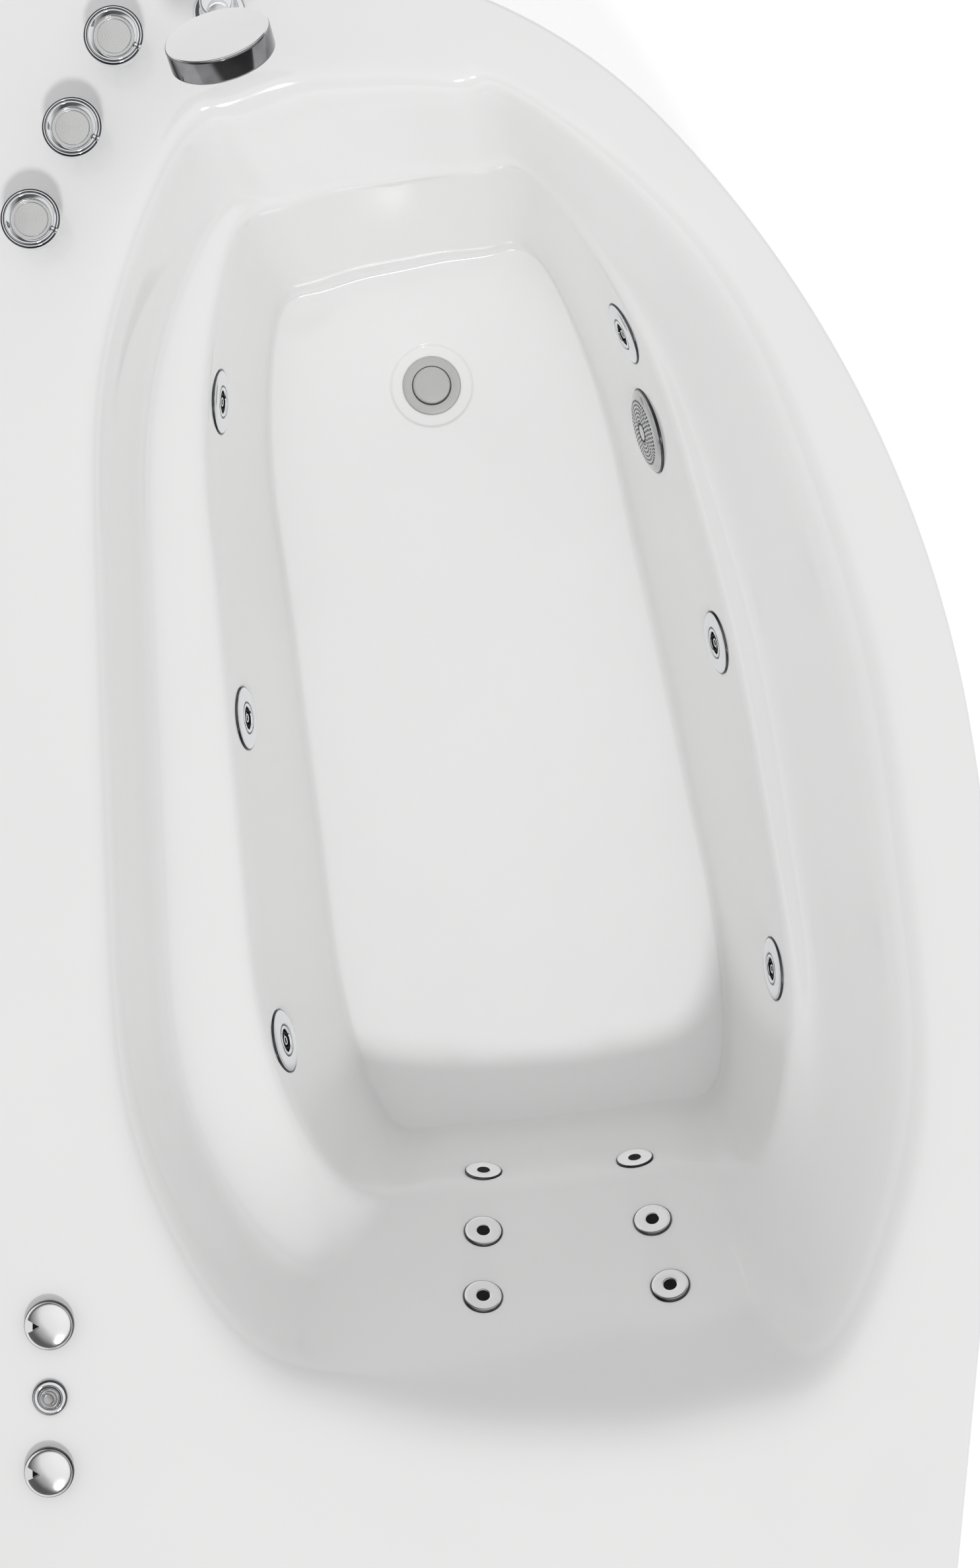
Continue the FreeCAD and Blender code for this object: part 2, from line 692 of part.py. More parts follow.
floor_level = size.rim_height - size.basin_depth
side_jets = {}
for end in ("foot", "middle", "head"):
    for side, toward in (("wall", TO_WALL), ("front", TO_WALL * -1)):
        start = Vector(getattr(size, f"{side}_jet_{end}"), 0, 0)
        side_jets[f"{side}_{end}"] = seat_on(start, toward, floor_level + size.side_jet_height)
back_jets = {}
for row, level in enumerate(("low", "middle", "high")):
    for side, sign in (("wall", 1), ("front", -1)):
        across = getattr(size, f"back_column_{side}") + sign * (row - 1) * size.back_column_splay
        if side == "wall":
            across = getattr(size, f"back_column_{side}")
        start = Vector(0, across, 0)
        height = floor_level + getattr(size, f"back_jet_{level}")
        back_jets[f"{side}_{level}"] = seat_on(start, ALONG * -1, height)
suction_seat = seat_on(Vector(size.suction_along, 0, 0), TO_WALL * -1, floor_level + size.suction_height)

foot_end = size.overall_length / 2
wall_side = size.overall_width / 2
drain_centre = Vector(foot_end - size.drain_foot_gap, size.drain_across, floor_level - size.drain_recess_depth)
taps = {}
for number, kind in enumerate(("hot", "diverter", "cold")):
    taps[kind] = Vector(foot_end - size.tap_foot_gap - number * size.tap_spacing_along,
                        wall_side - size.tap_wall_gap + number * size.tap_spacing_across, size.rim_height)
holder = Vector(foot_end - size.holder_foot_gap, wall_side - size.holder_wall_gap, size.rim_height)
controls = {}
for name, number in (("foot_side", 1), ("button", 0), ("head_side", -1)):
    controls[name] = Vector(size.control_head_gap + number * size.control_spacing - foot_end,
                            wall_side - size.control_wall_gap, size.rim_height)


def cylinder(radius, low, high, placement):
    """A plain cylinder between two heights of a placement."""
    made = Part.makeCylinder(radius, high - low, Vector(0, 0, low))
    made.Placement = placement
    return made


def drilled_shell():
    """The shell with its holes and drain recess."""
    tools = []
    deep = 6 * size.shell_wall
    proud = 2 * size.shell_wall
    holes = [(spot, size.jet_throat_radius, size.jet_ring_radius) for spot in side_jets.values()]
    holes += [(spot, size.back_jet_stem, size.back_jet_radius) for spot in back_jets.values()]
    holes += [(suction_seat, size.suction_body_radius, size.suction_cover_radius)]
    for (middle, normal), radius, cover in holes:
        place = aimed(middle, normal)
        tools.append(cylinder(radius + size.free_gap, -deep, proud, place))
        tools.append(cylinder(cover + size.seat_margin, -size.seat_depth, proud, place))
    drain = at(*drain_centre)
    tools.append(cylinder(size.drain_recess_radius, 0, proud, drain))
    tools.append(cylinder(size.drain_pipe_radius + size.free_gap, -deep, proud, drain))
    deck_holes = [(spot, size.tap_shank_radius) for spot in taps.values()]
    deck_holes += [(holder, size.holder_stem_radius)]
    deck_holes += [(controls["foot_side"], size.air_body_radius), (controls["head_side"], size.air_body_radius)]
    deck_holes += [(controls["button"], size.button_radius + 2)]
    for spot, radius in deck_holes:
        tools.append(cylinder(radius + size.free_gap, -proud, proud, at(*spot)))
    return bare_shell.cut(tools)


shaped("tub_shell", drilled_shell())


# ---------------------------------------------------------------- jets and suction

def polygon(radius, count):
    """Corners of a regular polygon inside a circle of this radius."""
    angles = [2 * math.pi * k / count for k in range(count)]
    return [(f"{radius} * {math.cos(a):.6f}", f"{radius} * {math.sin(a):.6f}") for a in angles]


def jet_seat(spot, depth=0.0):
    """Placement this far behind the flat seat of the wall; its own X runs level along the wall."""
    middle, normal = spot
    return aimed(middle - normal * (size.seat_depth + depth), normal, UP.cross(normal))


rings, jet_bodies = [], []
for name, spot in side_jets.items():
    seat = jet_seat(spot)
    rings.append(turned(f"side_jet_ring_{name}", [
        ("jet_ball_radius + running_gap", "-jet_throat_length"), ("jet_throat_radius", "-jet_throat_length"),
        ("jet_throat_radius", "0"), ("jet_ring_radius", "0"), ("jet_ring_radius", "jet_ring_thickness"),
        ("jet_ball_radius + running_gap", "jet_ring_thickness")], seat))
    nozzle = new_body(f"side_jet_nozzle_{name}")
    prism(nozzle, f"ball_band_{name}", polygon("jet_ball_radius", 24), "2 * jet_ball_band", offset="-jet_ball_band")
    prism(nozzle, f"nozzle_front_{name}", polygon("jet_nozzle_radius", 12), "jet_nozzle_reach + jet_ball_band",
          offset="-jet_ball_band")
    disc(nozzle, f"nozzle_bore_{name}", ("0", "0"), "jet_nozzle_bore", "2 * jet_nozzle_reach + 2",
         offset="jet_nozzle_reach + 1", feature="Pocket")
    nozzle.Placement = jet_seat(spot, size.jet_ball_depth)
    keep(f"side_jet_nozzle_{name}", nozzle)
    jet_bodies.append(turned(f"side_jet_body_{name}", [
        ("0", "-jet_throat_length"), ("jet_throat_radius", "-jet_throat_length"),
        ("jet_throat_radius", "-jet_flange_depth"), ("jet_ring_radius - 2", "-jet_flange_depth"),
        ("jet_ring_radius - 2", "-jet_flange_depth - 4"), ("jet_body_radius", "-jet_flange_depth - 4"),
        ("jet_body_radius", "-jet_body_length"), ("0", "-jet_body_length")], seat))

for name, spot in back_jets.items():
    seat = jet_seat(spot)
    rings.append(turned(f"back_jet_cover_{name}", [
        ("back_jet_bore", "-jet_flange_depth"), ("back_jet_stem", "-jet_flange_depth"), ("back_jet_stem", "0"),
        ("back_jet_radius", "0"), ("back_jet_radius", "back_jet_thickness"),
        ("back_jet_bore", "back_jet_thickness")], seat))
    jet_bodies.append(turned(f"back_jet_body_{name}", [
        ("0", "-jet_flange_depth"), ("back_jet_body", "-jet_flange_depth"),
        ("back_jet_body", "-back_jet_length"), ("0", "-back_jet_length")], seat))

suction_place = jet_seat(suction_seat)
suction_cover = turned("suction_cover", [
    ("0", "suction_cover_rise - 3"), ("suction_cover_radius - 9", "suction_cover_rise - 3"),
    ("suction_cover_radius - 9", "0"), ("suction_cover_radius", "0"), ("suction_cover_radius", "3"),
    ("suction_cover_radius - 6", "suction_cover_rise"), ("0", "suction_cover_rise")], suction_place)
slot = prism(suction_cover, "suction_slot", [
    ("suction_cover_radius * 0.35", "-1.5"), ("suction_cover_radius - 12", "-1.5"),
    ("suction_cover_radius - 12", "1.5"), ("suction_cover_radius * 0.35", "1.5")], "suction_cover_rise",
    offset="suction_cover_rise + 1", feature="Pocket")
ring_of(suction_cover, slot, "suction_slots")
keep("suction_cover", suction_cover)
jet_bodies.append(turned("suction_body", [
    ("suction_body_bore", "-suction_body_length"), ("suction_body_radius", "-suction_body_length"),
    ("suction_body_radius", "-jet_flange_depth - 4"), ("suction_cover_radius - 12", "-jet_flange_depth - 4"),
    ("suction_cover_radius - 12", "-jet_flange_depth"), ("suction_body_radius", "-jet_flange_depth"),
    ("suction_body_radius", "0"), ("suction_body_bore", "0")], suction_place))
group("jet_covers", rings)
group("jet_bodies", jet_bodies)


# ---------------------------------------------------------------- waste

drain = at(*drain_centre)
flange = turned("drain_flange", [
    ("drain_bore_radius", "-drain_pipe_length"), ("drain_pipe_radius", "-drain_pipe_length"),
    ("drain_pipe_radius", "0"), ("drain_flange_radius", "0"), ("drain_flange_radius", "drain_recess_depth"),
    ("drain_bore_radius", "drain_recess_depth")], drain)
prism(flange, "drain_bridge", [
    ("-drain_bore_radius - 1", "-stopper_stem - 2"), ("drain_bore_radius + 1", "-stopper_stem - 2"),
    ("drain_bore_radius + 1", "stopper_stem + 2"), ("-drain_bore_radius - 1", "stopper_stem + 2")], "6",
    offset="-24")
disc(flange, "drain_guide", ("0", "0"), "stopper_stem + running_gap", "8", offset="-17", feature="Pocket")
keep("drain_flange", flange)
keep("drain_stopper", turned("drain_stopper", [
    ("0", "-34"), ("stopper_stem", "-34"), ("stopper_stem", "drain_recess_depth + free_gap"),
    ("stopper_radius", "drain_recess_depth + free_gap"),
    ("stopper_radius", "drain_recess_depth + free_gap + stopper_height"),
    ("0", "drain_recess_depth + free_gap + stopper_height")], drain))

nut = new_body("drain_nut")
prism(nut, "drain_nut_hexagon", polygon("drain_nut_width / 1.7321", 6), "drain_nut_height",
      offset="-shell_wall + drain_recess_depth - drain_nut_height")
disc(nut, "drain_nut_bore", ("0", "0"), "drain_pipe_radius + running_gap", "drain_nut_height + 2",
     offset="-shell_wall + drain_recess_depth + 1", feature="Pocket")
nut.Placement = drain
keep("drain_nut", nut)

trap_cup = turned("trap_cup", [
    ("drain_pipe_radius + running_gap", "15 - drain_pipe_length"), ("drain_pipe_radius + 5", "15 - drain_pipe_length"),
    ("drain_pipe_radius + 5", "-drain_pipe_length"), ("trap_radius", "-drain_pipe_length"),
    ("trap_radius", "-drain_pipe_length - trap_height"), ("0", "-drain_pipe_length - trap_height"),
    ("0", "trap_wall - drain_pipe_length - trap_height"),
    ("trap_radius - trap_wall", "trap_wall - drain_pipe_length - trap_height"),
    ("trap_radius - trap_wall", "-drain_pipe_length - trap_wall"),
    ("drain_pipe_radius + running_gap", "-drain_pipe_length - trap_wall")], drain)


def piped(name, radius, length, placement):
    """A Part::Cylinder whose radius and length follow expressions."""
    made = doc.addObject("Part::Cylinder", name)
    made.Radius = evaluate(radius)
    made.Height = evaluate(length)
    made.setExpression("Radius", bound(radius))
    made.setExpression("Height", bound(length))
    made.Placement = placement
    return made


spigot_level = Vector(0, 0, -size.drain_pipe_length - size.trap_height * 0.45)
spigot_place = aimed(drain_centre + spigot_level + TO_WALL * (size.trap_radius - size.trap_wall - 1), TO_WALL)
spigot_length = "trap_reach - trap_radius + trap_wall + 1"
spigot = piped("trap_spigot", "trap_spigot_radius", spigot_length, spigot_place)
collar = piped("trap_collar", "trap_spigot_radius + trap_wall + 2", "trap_collar", spigot_place)
spigot_bore = piped("trap_spigot_bore", "trap_spigot_radius - trap_wall", spigot_length + " + 8",
                    aimed(drain_centre + spigot_level + TO_WALL * (size.trap_radius - size.trap_wall - 5), TO_WALL))
keep("waste_trap", less("waste_trap", joined("trap_with_spigot", [trap_cup, collar, spigot]), spigot_bore))


# ---------------------------------------------------------------- deck fittings

valves = []
for kind, spot in taps.items():
    place = at(*spot)
    lever_turn = FreeCAD.Placement(spot, FreeCAD.Rotation(UP, -115))
    valves.append(turned(f"tap_valve_{kind}", [
        ("tap_stem_radius + running_gap", "-24"), ("tap_stem_radius + running_gap", "tap_base_height"),
        ("tap_base_radius", "tap_base_height"), ("tap_base_radius", "0"), ("tap_shank_radius", "0"),
        ("tap_shank_radius", "-shell_wall"), ("tap_valve_radius", "-shell_wall"),
        ("tap_valve_radius", "-tap_valve_length"), ("tap_inlet_radius", "-tap_valve_length"),
        ("tap_inlet_radius", "-tap_valve_length - tap_inlet_length"), ("0", "-tap_valve_length - tap_inlet_length"),
        ("0", "-24")], place))
    handle = turned(f"tap_handle_{kind}", [
        ("0", "-20"), ("tap_stem_radius", "-20"), ("tap_stem_radius", "tap_base_height + free_gap"),
        ("tap_waist_radius", "tap_base_height + free_gap"), ("tap_waist_radius", "tap_waist_height"),
        ("tap_radius", "tap_height - tap_band_height"), ("tap_radius", "tap_height"),
        ("tap_recess_radius", "tap_height"), ("tap_recess_radius", "tap_height - tap_recess_depth"),
        ("0", "tap_height - tap_recess_depth")], lever_turn)
    disc(handle, f"tap_lever_{kind}", ("0", "tap_height - tap_lever_radius / 2"),
         "tap_lever_radius", "tap_lever_reach - 23", role="YZ_Plane", offset="23")
    keep(f"tap_handle_{kind}", handle)
group("tap_valves", valves)

yaw = math.radians(size.shower_yaw)
lean = Vector(-size.shower_lean * math.cos(yaw), -size.shower_lean * math.sin(yaw), size.shower_rise)
pivot = holder + UP * (size.holder_height / 2)
handle_axis = Vector(lean).normalize()
head_yaw = math.radians(size.shower_head_yaw)
tilt = math.radians(size.shower_tilt)
spray = Vector(-math.sin(tilt) * math.cos(head_yaw), -math.sin(tilt) * math.sin(head_yaw), -math.cos(tilt))
low_share = (size.holder_height / 2 - size.holder_floor) / handle_axis.z
handle_start = pivot - handle_axis * low_share
head_centre = pivot + handle_axis * (size.shower_rise / handle_axis.z)
cup = turned("holder_cup", [
    ("0", "-holder_stem_length"), ("holder_stem_radius", "-holder_stem_length"), ("holder_stem_radius", "0"),
    ("holder_radius", "0"), ("holder_radius", "holder_height"), ("0", "holder_height")], at(*holder))
socket = piped("holder_socket", "shower_handle_radius + running_gap", "2 * holder_height",
               aimed(handle_start, handle_axis))
keep("shower_holder", less("shower_holder", cup, socket))
handle_length = (head_centre - handle_start).Length
shower_handle = doc.addObject("Part::Cylinder", "shower_handle")
shower_handle.Radius = size.shower_handle_radius
shower_handle.setExpression("Radius", bound("shower_handle_radius"))
shower_handle.Height = handle_length
shower_handle.Placement = aimed(handle_start, handle_axis)
drum = piped("shower_drum", "shower_head_radius", "shower_head_thickness",
             aimed(head_centre - spray * (size.shower_head_thickness / 2), spray))
face_place = aimed(head_centre + spray * (size.shower_head_thickness / 2 - 1), spray)
seat_for_face = piped("shower_face_seat", "shower_face_radius", "shower_face_thickness", face_place)
keep("hand_shower", less("hand_shower", joined("shower_handle_and_drum", [shower_handle, drum]), seat_for_face))
keep("shower_face", piped("shower_face", "shower_face_radius", "shower_face_thickness", face_place))

air_bodies = []
for name in ("foot_side", "head_side"):
    place = at(*controls[name])
    air_bodies.append(turned(f"air_body_{name}", [
        ("air_knob_stem + running_gap", "-24"), ("air_knob_stem + running_gap", "air_flange_height"),
        ("air_knob_radius", "air_flange_height"), ("air_knob_radius", "0"), ("air_body_radius", "0"),
        ("air_body_radius", "-air_body_length"), ("0", "-air_body_length"), ("0", "-24")], place))
    knob = turned(f"air_control_knob_{name}", [
        ("0", "-20"), ("air_knob_stem", "-20"), ("air_knob_stem", "air_flange_height + free_gap"),
        ("air_knob_radius", "air_flange_height + free_gap"), ("air_knob_radius", "air_knob_height"),
        ("0", "air_knob_height")], place)
    prism(knob, f"air_knob_notch_{name}", [
        ("-air_knob_radius * 0.4", "air_knob_radius + 1"), ("0", "air_knob_radius * 0.25"),
        ("air_knob_radius * 0.4", "air_knob_radius + 1")], "air_knob_height * 0.4",
        offset="air_knob_height + 0.01", feature="Pocket")
    keep(f"air_control_knob_{name}", knob)
group("air_control_bodies", air_bodies)

button_place = at(*controls["button"])
keep("power_button_housing", turned("power_button_housing", [
    ("button_radius + running_gap", "-button_skirt - 2 * button_travel"),
    ("button_radius + running_gap", "button_ring_height"), ("button_ring_radius", "button_ring_height"),
    ("button_ring_radius", "0"), ("button_radius + 2", "0"), ("button_radius + 2", "-button_body_length"),
    ("0", "-button_body_length"), ("0", "-button_skirt - 2 * button_travel")], button_place))
keep("power_button", turned("power_button", [
    ("0", "-button_skirt"), ("button_radius", "-button_skirt"), ("button_radius", "button_height"),
    ("0", "button_height")], button_place))


# ---------------------------------------------------------------- board, frame and feet

FOOT_EDGE = "overall_length / 2 - floor_foot_gap"
HEAD_EDGE = "overall_length / 2 - floor_foot_gap - floor_length"
board = new_body("base_board")
prism(board, "board_plate", [
    (f"{HEAD_EDGE} - floor_slant * 0.4 + board_inset + floor_corner * 0.6",
     "floor_foot_shift - floor_skew + floor_head_width / 2 - board_inset"),
    (f"{FOOT_EDGE} - floor_slant * 0.6 - board_inset",
     "floor_foot_shift + floor_foot_width / 2 - 13 - board_inset"),
    (f"{FOOT_EDGE} + floor_slant * 0.6 - board_inset", "floor_foot_shift - floor_foot_width / 2 + board_inset"),
    (f"{HEAD_EDGE} + floor_slant * 0.4 + board_inset",
     "floor_foot_shift - floor_skew - floor_head_width / 2 + board_inset")],
    "rim_height - basin_depth - shell_wall - frame_top", offset="frame_top")
disc(board, "board_drain_hole", ("overall_length / 2 - drain_foot_gap", "drain_across"), "board_hole_radius",
     "rim_height", offset="rim_height", feature="Pocket")
keep("base_board", board)

shelf_top = size.frame_top + size.shelf_thickness
HALF = "tube_size / 2"
FRAME_LOW = "frame_top - tube_size"
bar_places = {"foot": "overall_length / 2 - bar_foot_gap", "middle": "bar_middle",
              "head": "bar_head_gap - overall_length / 2", "end": "rail_head_gap - overall_length / 2 + tube_size / 2"}
rail_places = {"wall": "rail_wall_side", "front": "rail_front_side"}
POST = "overall_width / 2 - post_inset"


def front_reach(along):
    """How far a cross bar reaches to the front before it meets the apron's bracket."""
    x, y = outline.inside(outline.run_at(along), size.apron_inset + size.apron_wall + size.bracket_foot / 2)
    return y


beams = []
for name, across in rail_places.items():
    start = f"rail_head_gap - overall_length / 2"
    end = "overall_length / 2 - rail_foot_gap" if name == "wall" else f"{bar_places['foot']} + {HALF}"
    beams.append(box(f"rail_{name}", (start, f"{across} - {HALF}", FRAME_LOW), (end, f"{across} + {HALF}", "frame_top")))
beams.append(box("rail_shelf", ("rail_head_gap - overall_length / 2", f"shelf_rail - {HALF}", FRAME_LOW),
                 (f"{bar_places['head']} + {HALF}", f"shelf_rail + {HALF}", "frame_top")))
for name, along in bar_places.items():
    reach = f"{front_reach(evaluate(along)):.3f}"
    beams.append(box(f"bar_{name}", (f"{along} - {HALF}", reach, FRAME_LOW),
                     (f"{along} + {HALF}", f"{POST} + {HALF}", "frame_top")))
for name in ("foot", "middle", "head"):
    along = bar_places[name]
    beams.append(box(f"post_{name}", (f"{along} - {HALF}", f"{POST} - {HALF}", "frame_top - 1"),
                     (f"{along} + {HALF}", f"{POST} + {HALF}", "rim_height - shell_wall")))
feet_places = [(bar_places[bar], across) for bar in ("foot", "middle", "head") for across in rail_places.values()]
bolt_holes, feet, nuts = [], [], []
for number, (along, across) in enumerate(feet_places, 1):
    spot = Vector(evaluate(along), evaluate(across), 0)
    bolt_holes.append(piped(f"leg_hole_{number}", "stud_radius + free_gap", "frame_top + 1", at(*spot)))
    foot = new_body(f"leg_foot_{number}")
    prism(foot, f"foot_pad_{number}", polygon("foot_hex / 1.7321", 6), "foot_height")
    disc(foot, f"foot_stud_{number}", ("0", "0"), "stud_radius", "stud_top - foot_height", offset="foot_height")
    foot.Placement = at(*spot)
    feet.append(foot)
    lock = new_body(f"leg_nut_{number}")
    prism(lock, f"nut_hexagon_{number}", polygon("nut_hex / 1.7321", 6), "nut_height",
          offset="frame_top - tube_size - nut_height")
    disc(lock, f"nut_bore_{number}", ("0", "0"), "stud_radius + running_gap", "nut_height + 2",
         offset="frame_top - tube_size + 1", feature="Pocket")
    lock.Placement = at(*spot)
    nuts.append(lock)
holes_group = joined("leg_holes", bolt_holes)
keep("support_frame", less("support_frame", joined("frame_beams", beams), holes_group))
group("leg_feet", feet)
group("leg_lock_nuts", nuts)


# ---------------------------------------------------------------- pump and its shelf

shelf_start = "rail_head_gap - overall_length / 2"
keep("pump_shelf", box("pump_shelf", (shelf_start, f"rail_wall_side - {HALF}", "frame_top"),
                       (f"{shelf_start} + shelf_length", f"shelf_rail + {HALF}", "frame_top + shelf_thickness")))
pump_level = shelf_top + size.pump_axis_height
volute_back = Vector(size.pump_head_gap - foot_end, size.pump_across, pump_level)
pump_place = aimed(volute_back, ALONG, TO_WALL)

volute = turned("pump_casing", [
    ("shaft_radius + running_gap", "0"), ("volute_radius", "0"), ("volute_radius", "volute_length"),
    ("pump_inlet_radius", "volute_length"), ("pump_inlet_radius", "volute_length + pump_inlet_length"),
    ("pump_inlet_bore", "volute_length + pump_inlet_length"), ("pump_inlet_bore", "volute_length - volute_wall"),
    ("volute_radius - volute_wall", "volute_length - volute_wall"), ("volute_radius - volute_wall", "volute_wall"),
    ("shaft_radius + running_gap", "volute_wall")], pump_place)
outlet_base = volute_back + ALONG * (size.volute_length / 2)
outlet_foot = "volute_radius - volute_wall + 2"
outlet = piped("pump_outlet", "pump_outlet_radius", f"pump_outlet_reach - ({outlet_foot})",
               aimed(outlet_base + UP * evaluate(outlet_foot), UP))
outlet_bore = piped("pump_outlet_bore", "pump_outlet_bore", "pump_outlet_reach", aimed(outlet_base + UP * 40, UP))
keep("pump_volute", less("pump_volute", joined("casing_with_outlet", [volute, outlet]), outlet_bore))

impeller = turned("pump_impeller", [
    ("0", "-shaft_length"), ("shaft_radius", "-shaft_length"), ("shaft_radius", "volute_wall + 3"),
    ("impeller_radius", "volute_wall + 3"), ("impeller_radius", "volute_wall + 3 + impeller_disc"),
    ("shaft_radius + 4", "volute_wall + 3 + impeller_disc"),
    ("shaft_radius + 4", "volute_wall + 3 + impeller_disc + blade_height"),
    ("0", "volute_wall + 3 + impeller_disc + blade_height")], pump_place)
blade = prism(impeller, "impeller_blade", [
    ("shaft_radius", "-blade_wall / 2"), ("impeller_radius - 1", "-blade_wall * 3"),
    ("impeller_radius - 1", "-blade_wall * 2"), ("shaft_radius", "blade_wall / 2")], "blade_height + 1",
    offset="volute_wall + 2 + impeller_disc")
ring_of(impeller, blade, "impeller_blades")
keep("pump_impeller", impeller)

motor = turned("motor_can", [
    ("0", "-motor_length"), ("motor_radius", "-motor_length"), ("motor_radius", "0"),
    ("shaft_radius + running_gap", "0"), ("shaft_radius + running_gap", "-shaft_length - 2"),
    ("0", "-shaft_length - 2")], pump_place)
can_middle = "pump_head_gap - overall_length / 2 - motor_length / 2"
axis_text = "frame_top + shelf_thickness + pump_axis_height"
terminal = box("terminal_box", (f"{can_middle} - terminal_box / 2", "pump_across - motor_radius - 24",
                                f"{axis_text} - terminal_box / 2"),
               (f"{can_middle} + terminal_box / 2", "pump_across - motor_radius + 10",
                f"{axis_text} + terminal_box / 2"))
keep("pump_motor", joined("pump_motor", [motor, terminal]))
cradle = box("pump_cradle", (f"{can_middle} - pump_foot_length / 2", "pump_across - pump_foot_width / 2",
                             "frame_top + shelf_thickness"),
             (f"{can_middle} + pump_foot_length / 2", "pump_across + pump_foot_width / 2",
              "frame_top + shelf_thickness + pump_foot_height"))
can_space = piped("can_space", "motor_radius", "2 * motor_length",
                  aimed(volute_back - ALONG * (1.5 * size.motor_length), ALONG, TO_WALL))
keep("pump_foot", less("pump_foot", cradle, can_space))

box_start = "pump_head_gap - overall_length / 2 + volute_length / 2 - control_box_length / 2"
keep("control_box", box("control_box", (box_start, "control_box_across - control_box_width / 2",
                                        "frame_top + shelf_thickness"),
                        (f"{box_start} + control_box_length", "control_box_across + control_box_width / 2",
                         "frame_top + shelf_thickness + control_box_height")))
box_top = shelf_top + size.control_box_height
button_foot = controls["button"] - UP * size.button_body_length
tube_length = "rim_height - button_body_length - frame_top - shelf_thickness - control_box_height"
keep("control_tube", piped("control_tube", "control_tube_radius", tube_length,
                           at(button_foot.x, button_foot.y, box_top)))


# ---------------------------------------------------------------- pipes

def pipe_through(radius, points):
    """A round pipe along straight runs, mitred where they meet."""
    points = [Vector(p) for p in points]
    start = Part.Circle(points[0], points[1] - points[0], radius).toShape()
    maker = Part.BRepOffsetAPI.MakePipeShell(Part.makePolygon(points))
    maker.setTransitionMode(1)
    maker.add(Part.Wire([start]))
    maker.build()
    maker.makeSolid()
    return maker.shape()


def behind(spot, depth, drop=0.0):
    """The point this far behind a seat, and this far down square to the seat's axis."""
    middle, normal = spot
    down = normal * normal.z - UP
    down.normalize()
    return middle - normal * (size.seat_depth + depth) + down * drop


def plumbed(node, runs, cutters):
    """Pipe runs as one node, cut where they meet the housings that they feed."""
    whole = runs[0].fuse(runs[1:]).cut(cutters)
    shaped(node, Part.makeCompound(whole.Solids))


doc.recompute()
bodies_of_jets = [body.Shape for body in jet_bodies]
main_start = outlet_base + UP * size.pump_outlet_reach
main_corner = Vector(main_start.x, main_start.y, size.main_level)
front_corner = Vector(main_start.x, size.main_front_side, size.main_level)
ports = {name: behind(spot, size.jet_port_depth, size.jet_port_drop) for name, spot in side_jets.items()}
air_ports = {name: behind(spot, size.air_port_depth) for name, spot in side_jets.items()}
over_suction = behind(suction_seat, size.suction_pass) + UP * size.suction_clear
beside = UP.cross(suction_seat[1]).normalize()


def onward(before, last, reach):
    """The point this far past the last one, in the same line."""
    step = last - before
    step.normalize()
    return last + step * reach


wall_water = [main_start, main_corner, ports["wall_head"], ports["wall_middle"], ports["wall_foot"]]
wall_water.append(onward(wall_water[-2], wall_water[-1], size.pipe_overrun))
front_water = [main_corner, front_corner, ports["front_head"], ports["front_middle"],
               over_suction + beside * 60, over_suction - beside * 30, ports["front_foot"]]
front_water.append(onward(front_water[-2], front_water[-1], size.pipe_overrun))
water = [pipe_through(size.water_pipe_radius, wall_water), pipe_through(size.water_pipe_radius, front_water)]
for spot in back_jets.values():
    rear = behind(spot, size.back_jet_length - 1)
    water.append(pipe_through(size.air_pipe_radius, [Vector(main_start.x, rear.y, size.main_level), rear]))
plumbed("water_pipes", water, bodies_of_jets)

air = []
for knob, side, route in (("foot_side", "wall", []), ("head_side", "front", [size.air_main_front_side])):
    foot = controls[knob] - UP * size.air_body_length
    line = [foot, Vector(foot.x, foot.y, size.air_main_level)]
    line += [Vector(foot.x, across, size.air_main_level) for across in route]
    line += [air_ports[f"{side}_{end}"] for end in ("head", "middle", "foot")]
    air.append(pipe_through(size.air_pipe_radius, line))
for spot in side_jets.values():
    stub = [behind(spot, size.jet_body_length - 1), behind(spot, size.air_port_depth)]
    air.append(pipe_through(size.air_pipe_radius + 1, stub))
plumbed("air_pipes", air, bodies_of_jets)

neck = volute_back + ALONG * (size.volute_length + size.pump_inlet_length)
rear = behind(suction_seat, size.suction_body_length)
elbow = behind(suction_seat, size.suction_body_length + size.suction_pipe_radius + 4)
riser = Vector(size.suction_head_gap - foot_end, neck.y, neck.z)
low = size.suction_pipe_level
suction_line = [rear, elbow, Vector(elbow.x, elbow.y, low), Vector(riser.x, elbow.y, low),
                Vector(riser.x, riser.y, low), riser, neck]
shaped("suction_pipe", pipe_through(size.suction_pipe_radius, suction_line))


# ---------------------------------------------------------------- apron

def band(inset, depth, low, high):
    """A strip that follows the foot end and the curved front."""
    outer = outline.edges(inset, low)
    inner = outline.edges(inset + depth, low)
    ends = [Part.LineSegment(a.Vertexes[k].Point, b.Vertexes[k].Point).toShape()
            for a, b, k in ((outer[0], inner[0], 0), (outer[-1], inner[-1], -1))]
    face = Part.makeFace(Part.Wire(Part.sortEdges(outer + inner + ends)[0]), "Part::FaceMakerBullseye")
    return face.extrude(UP * (high - low))


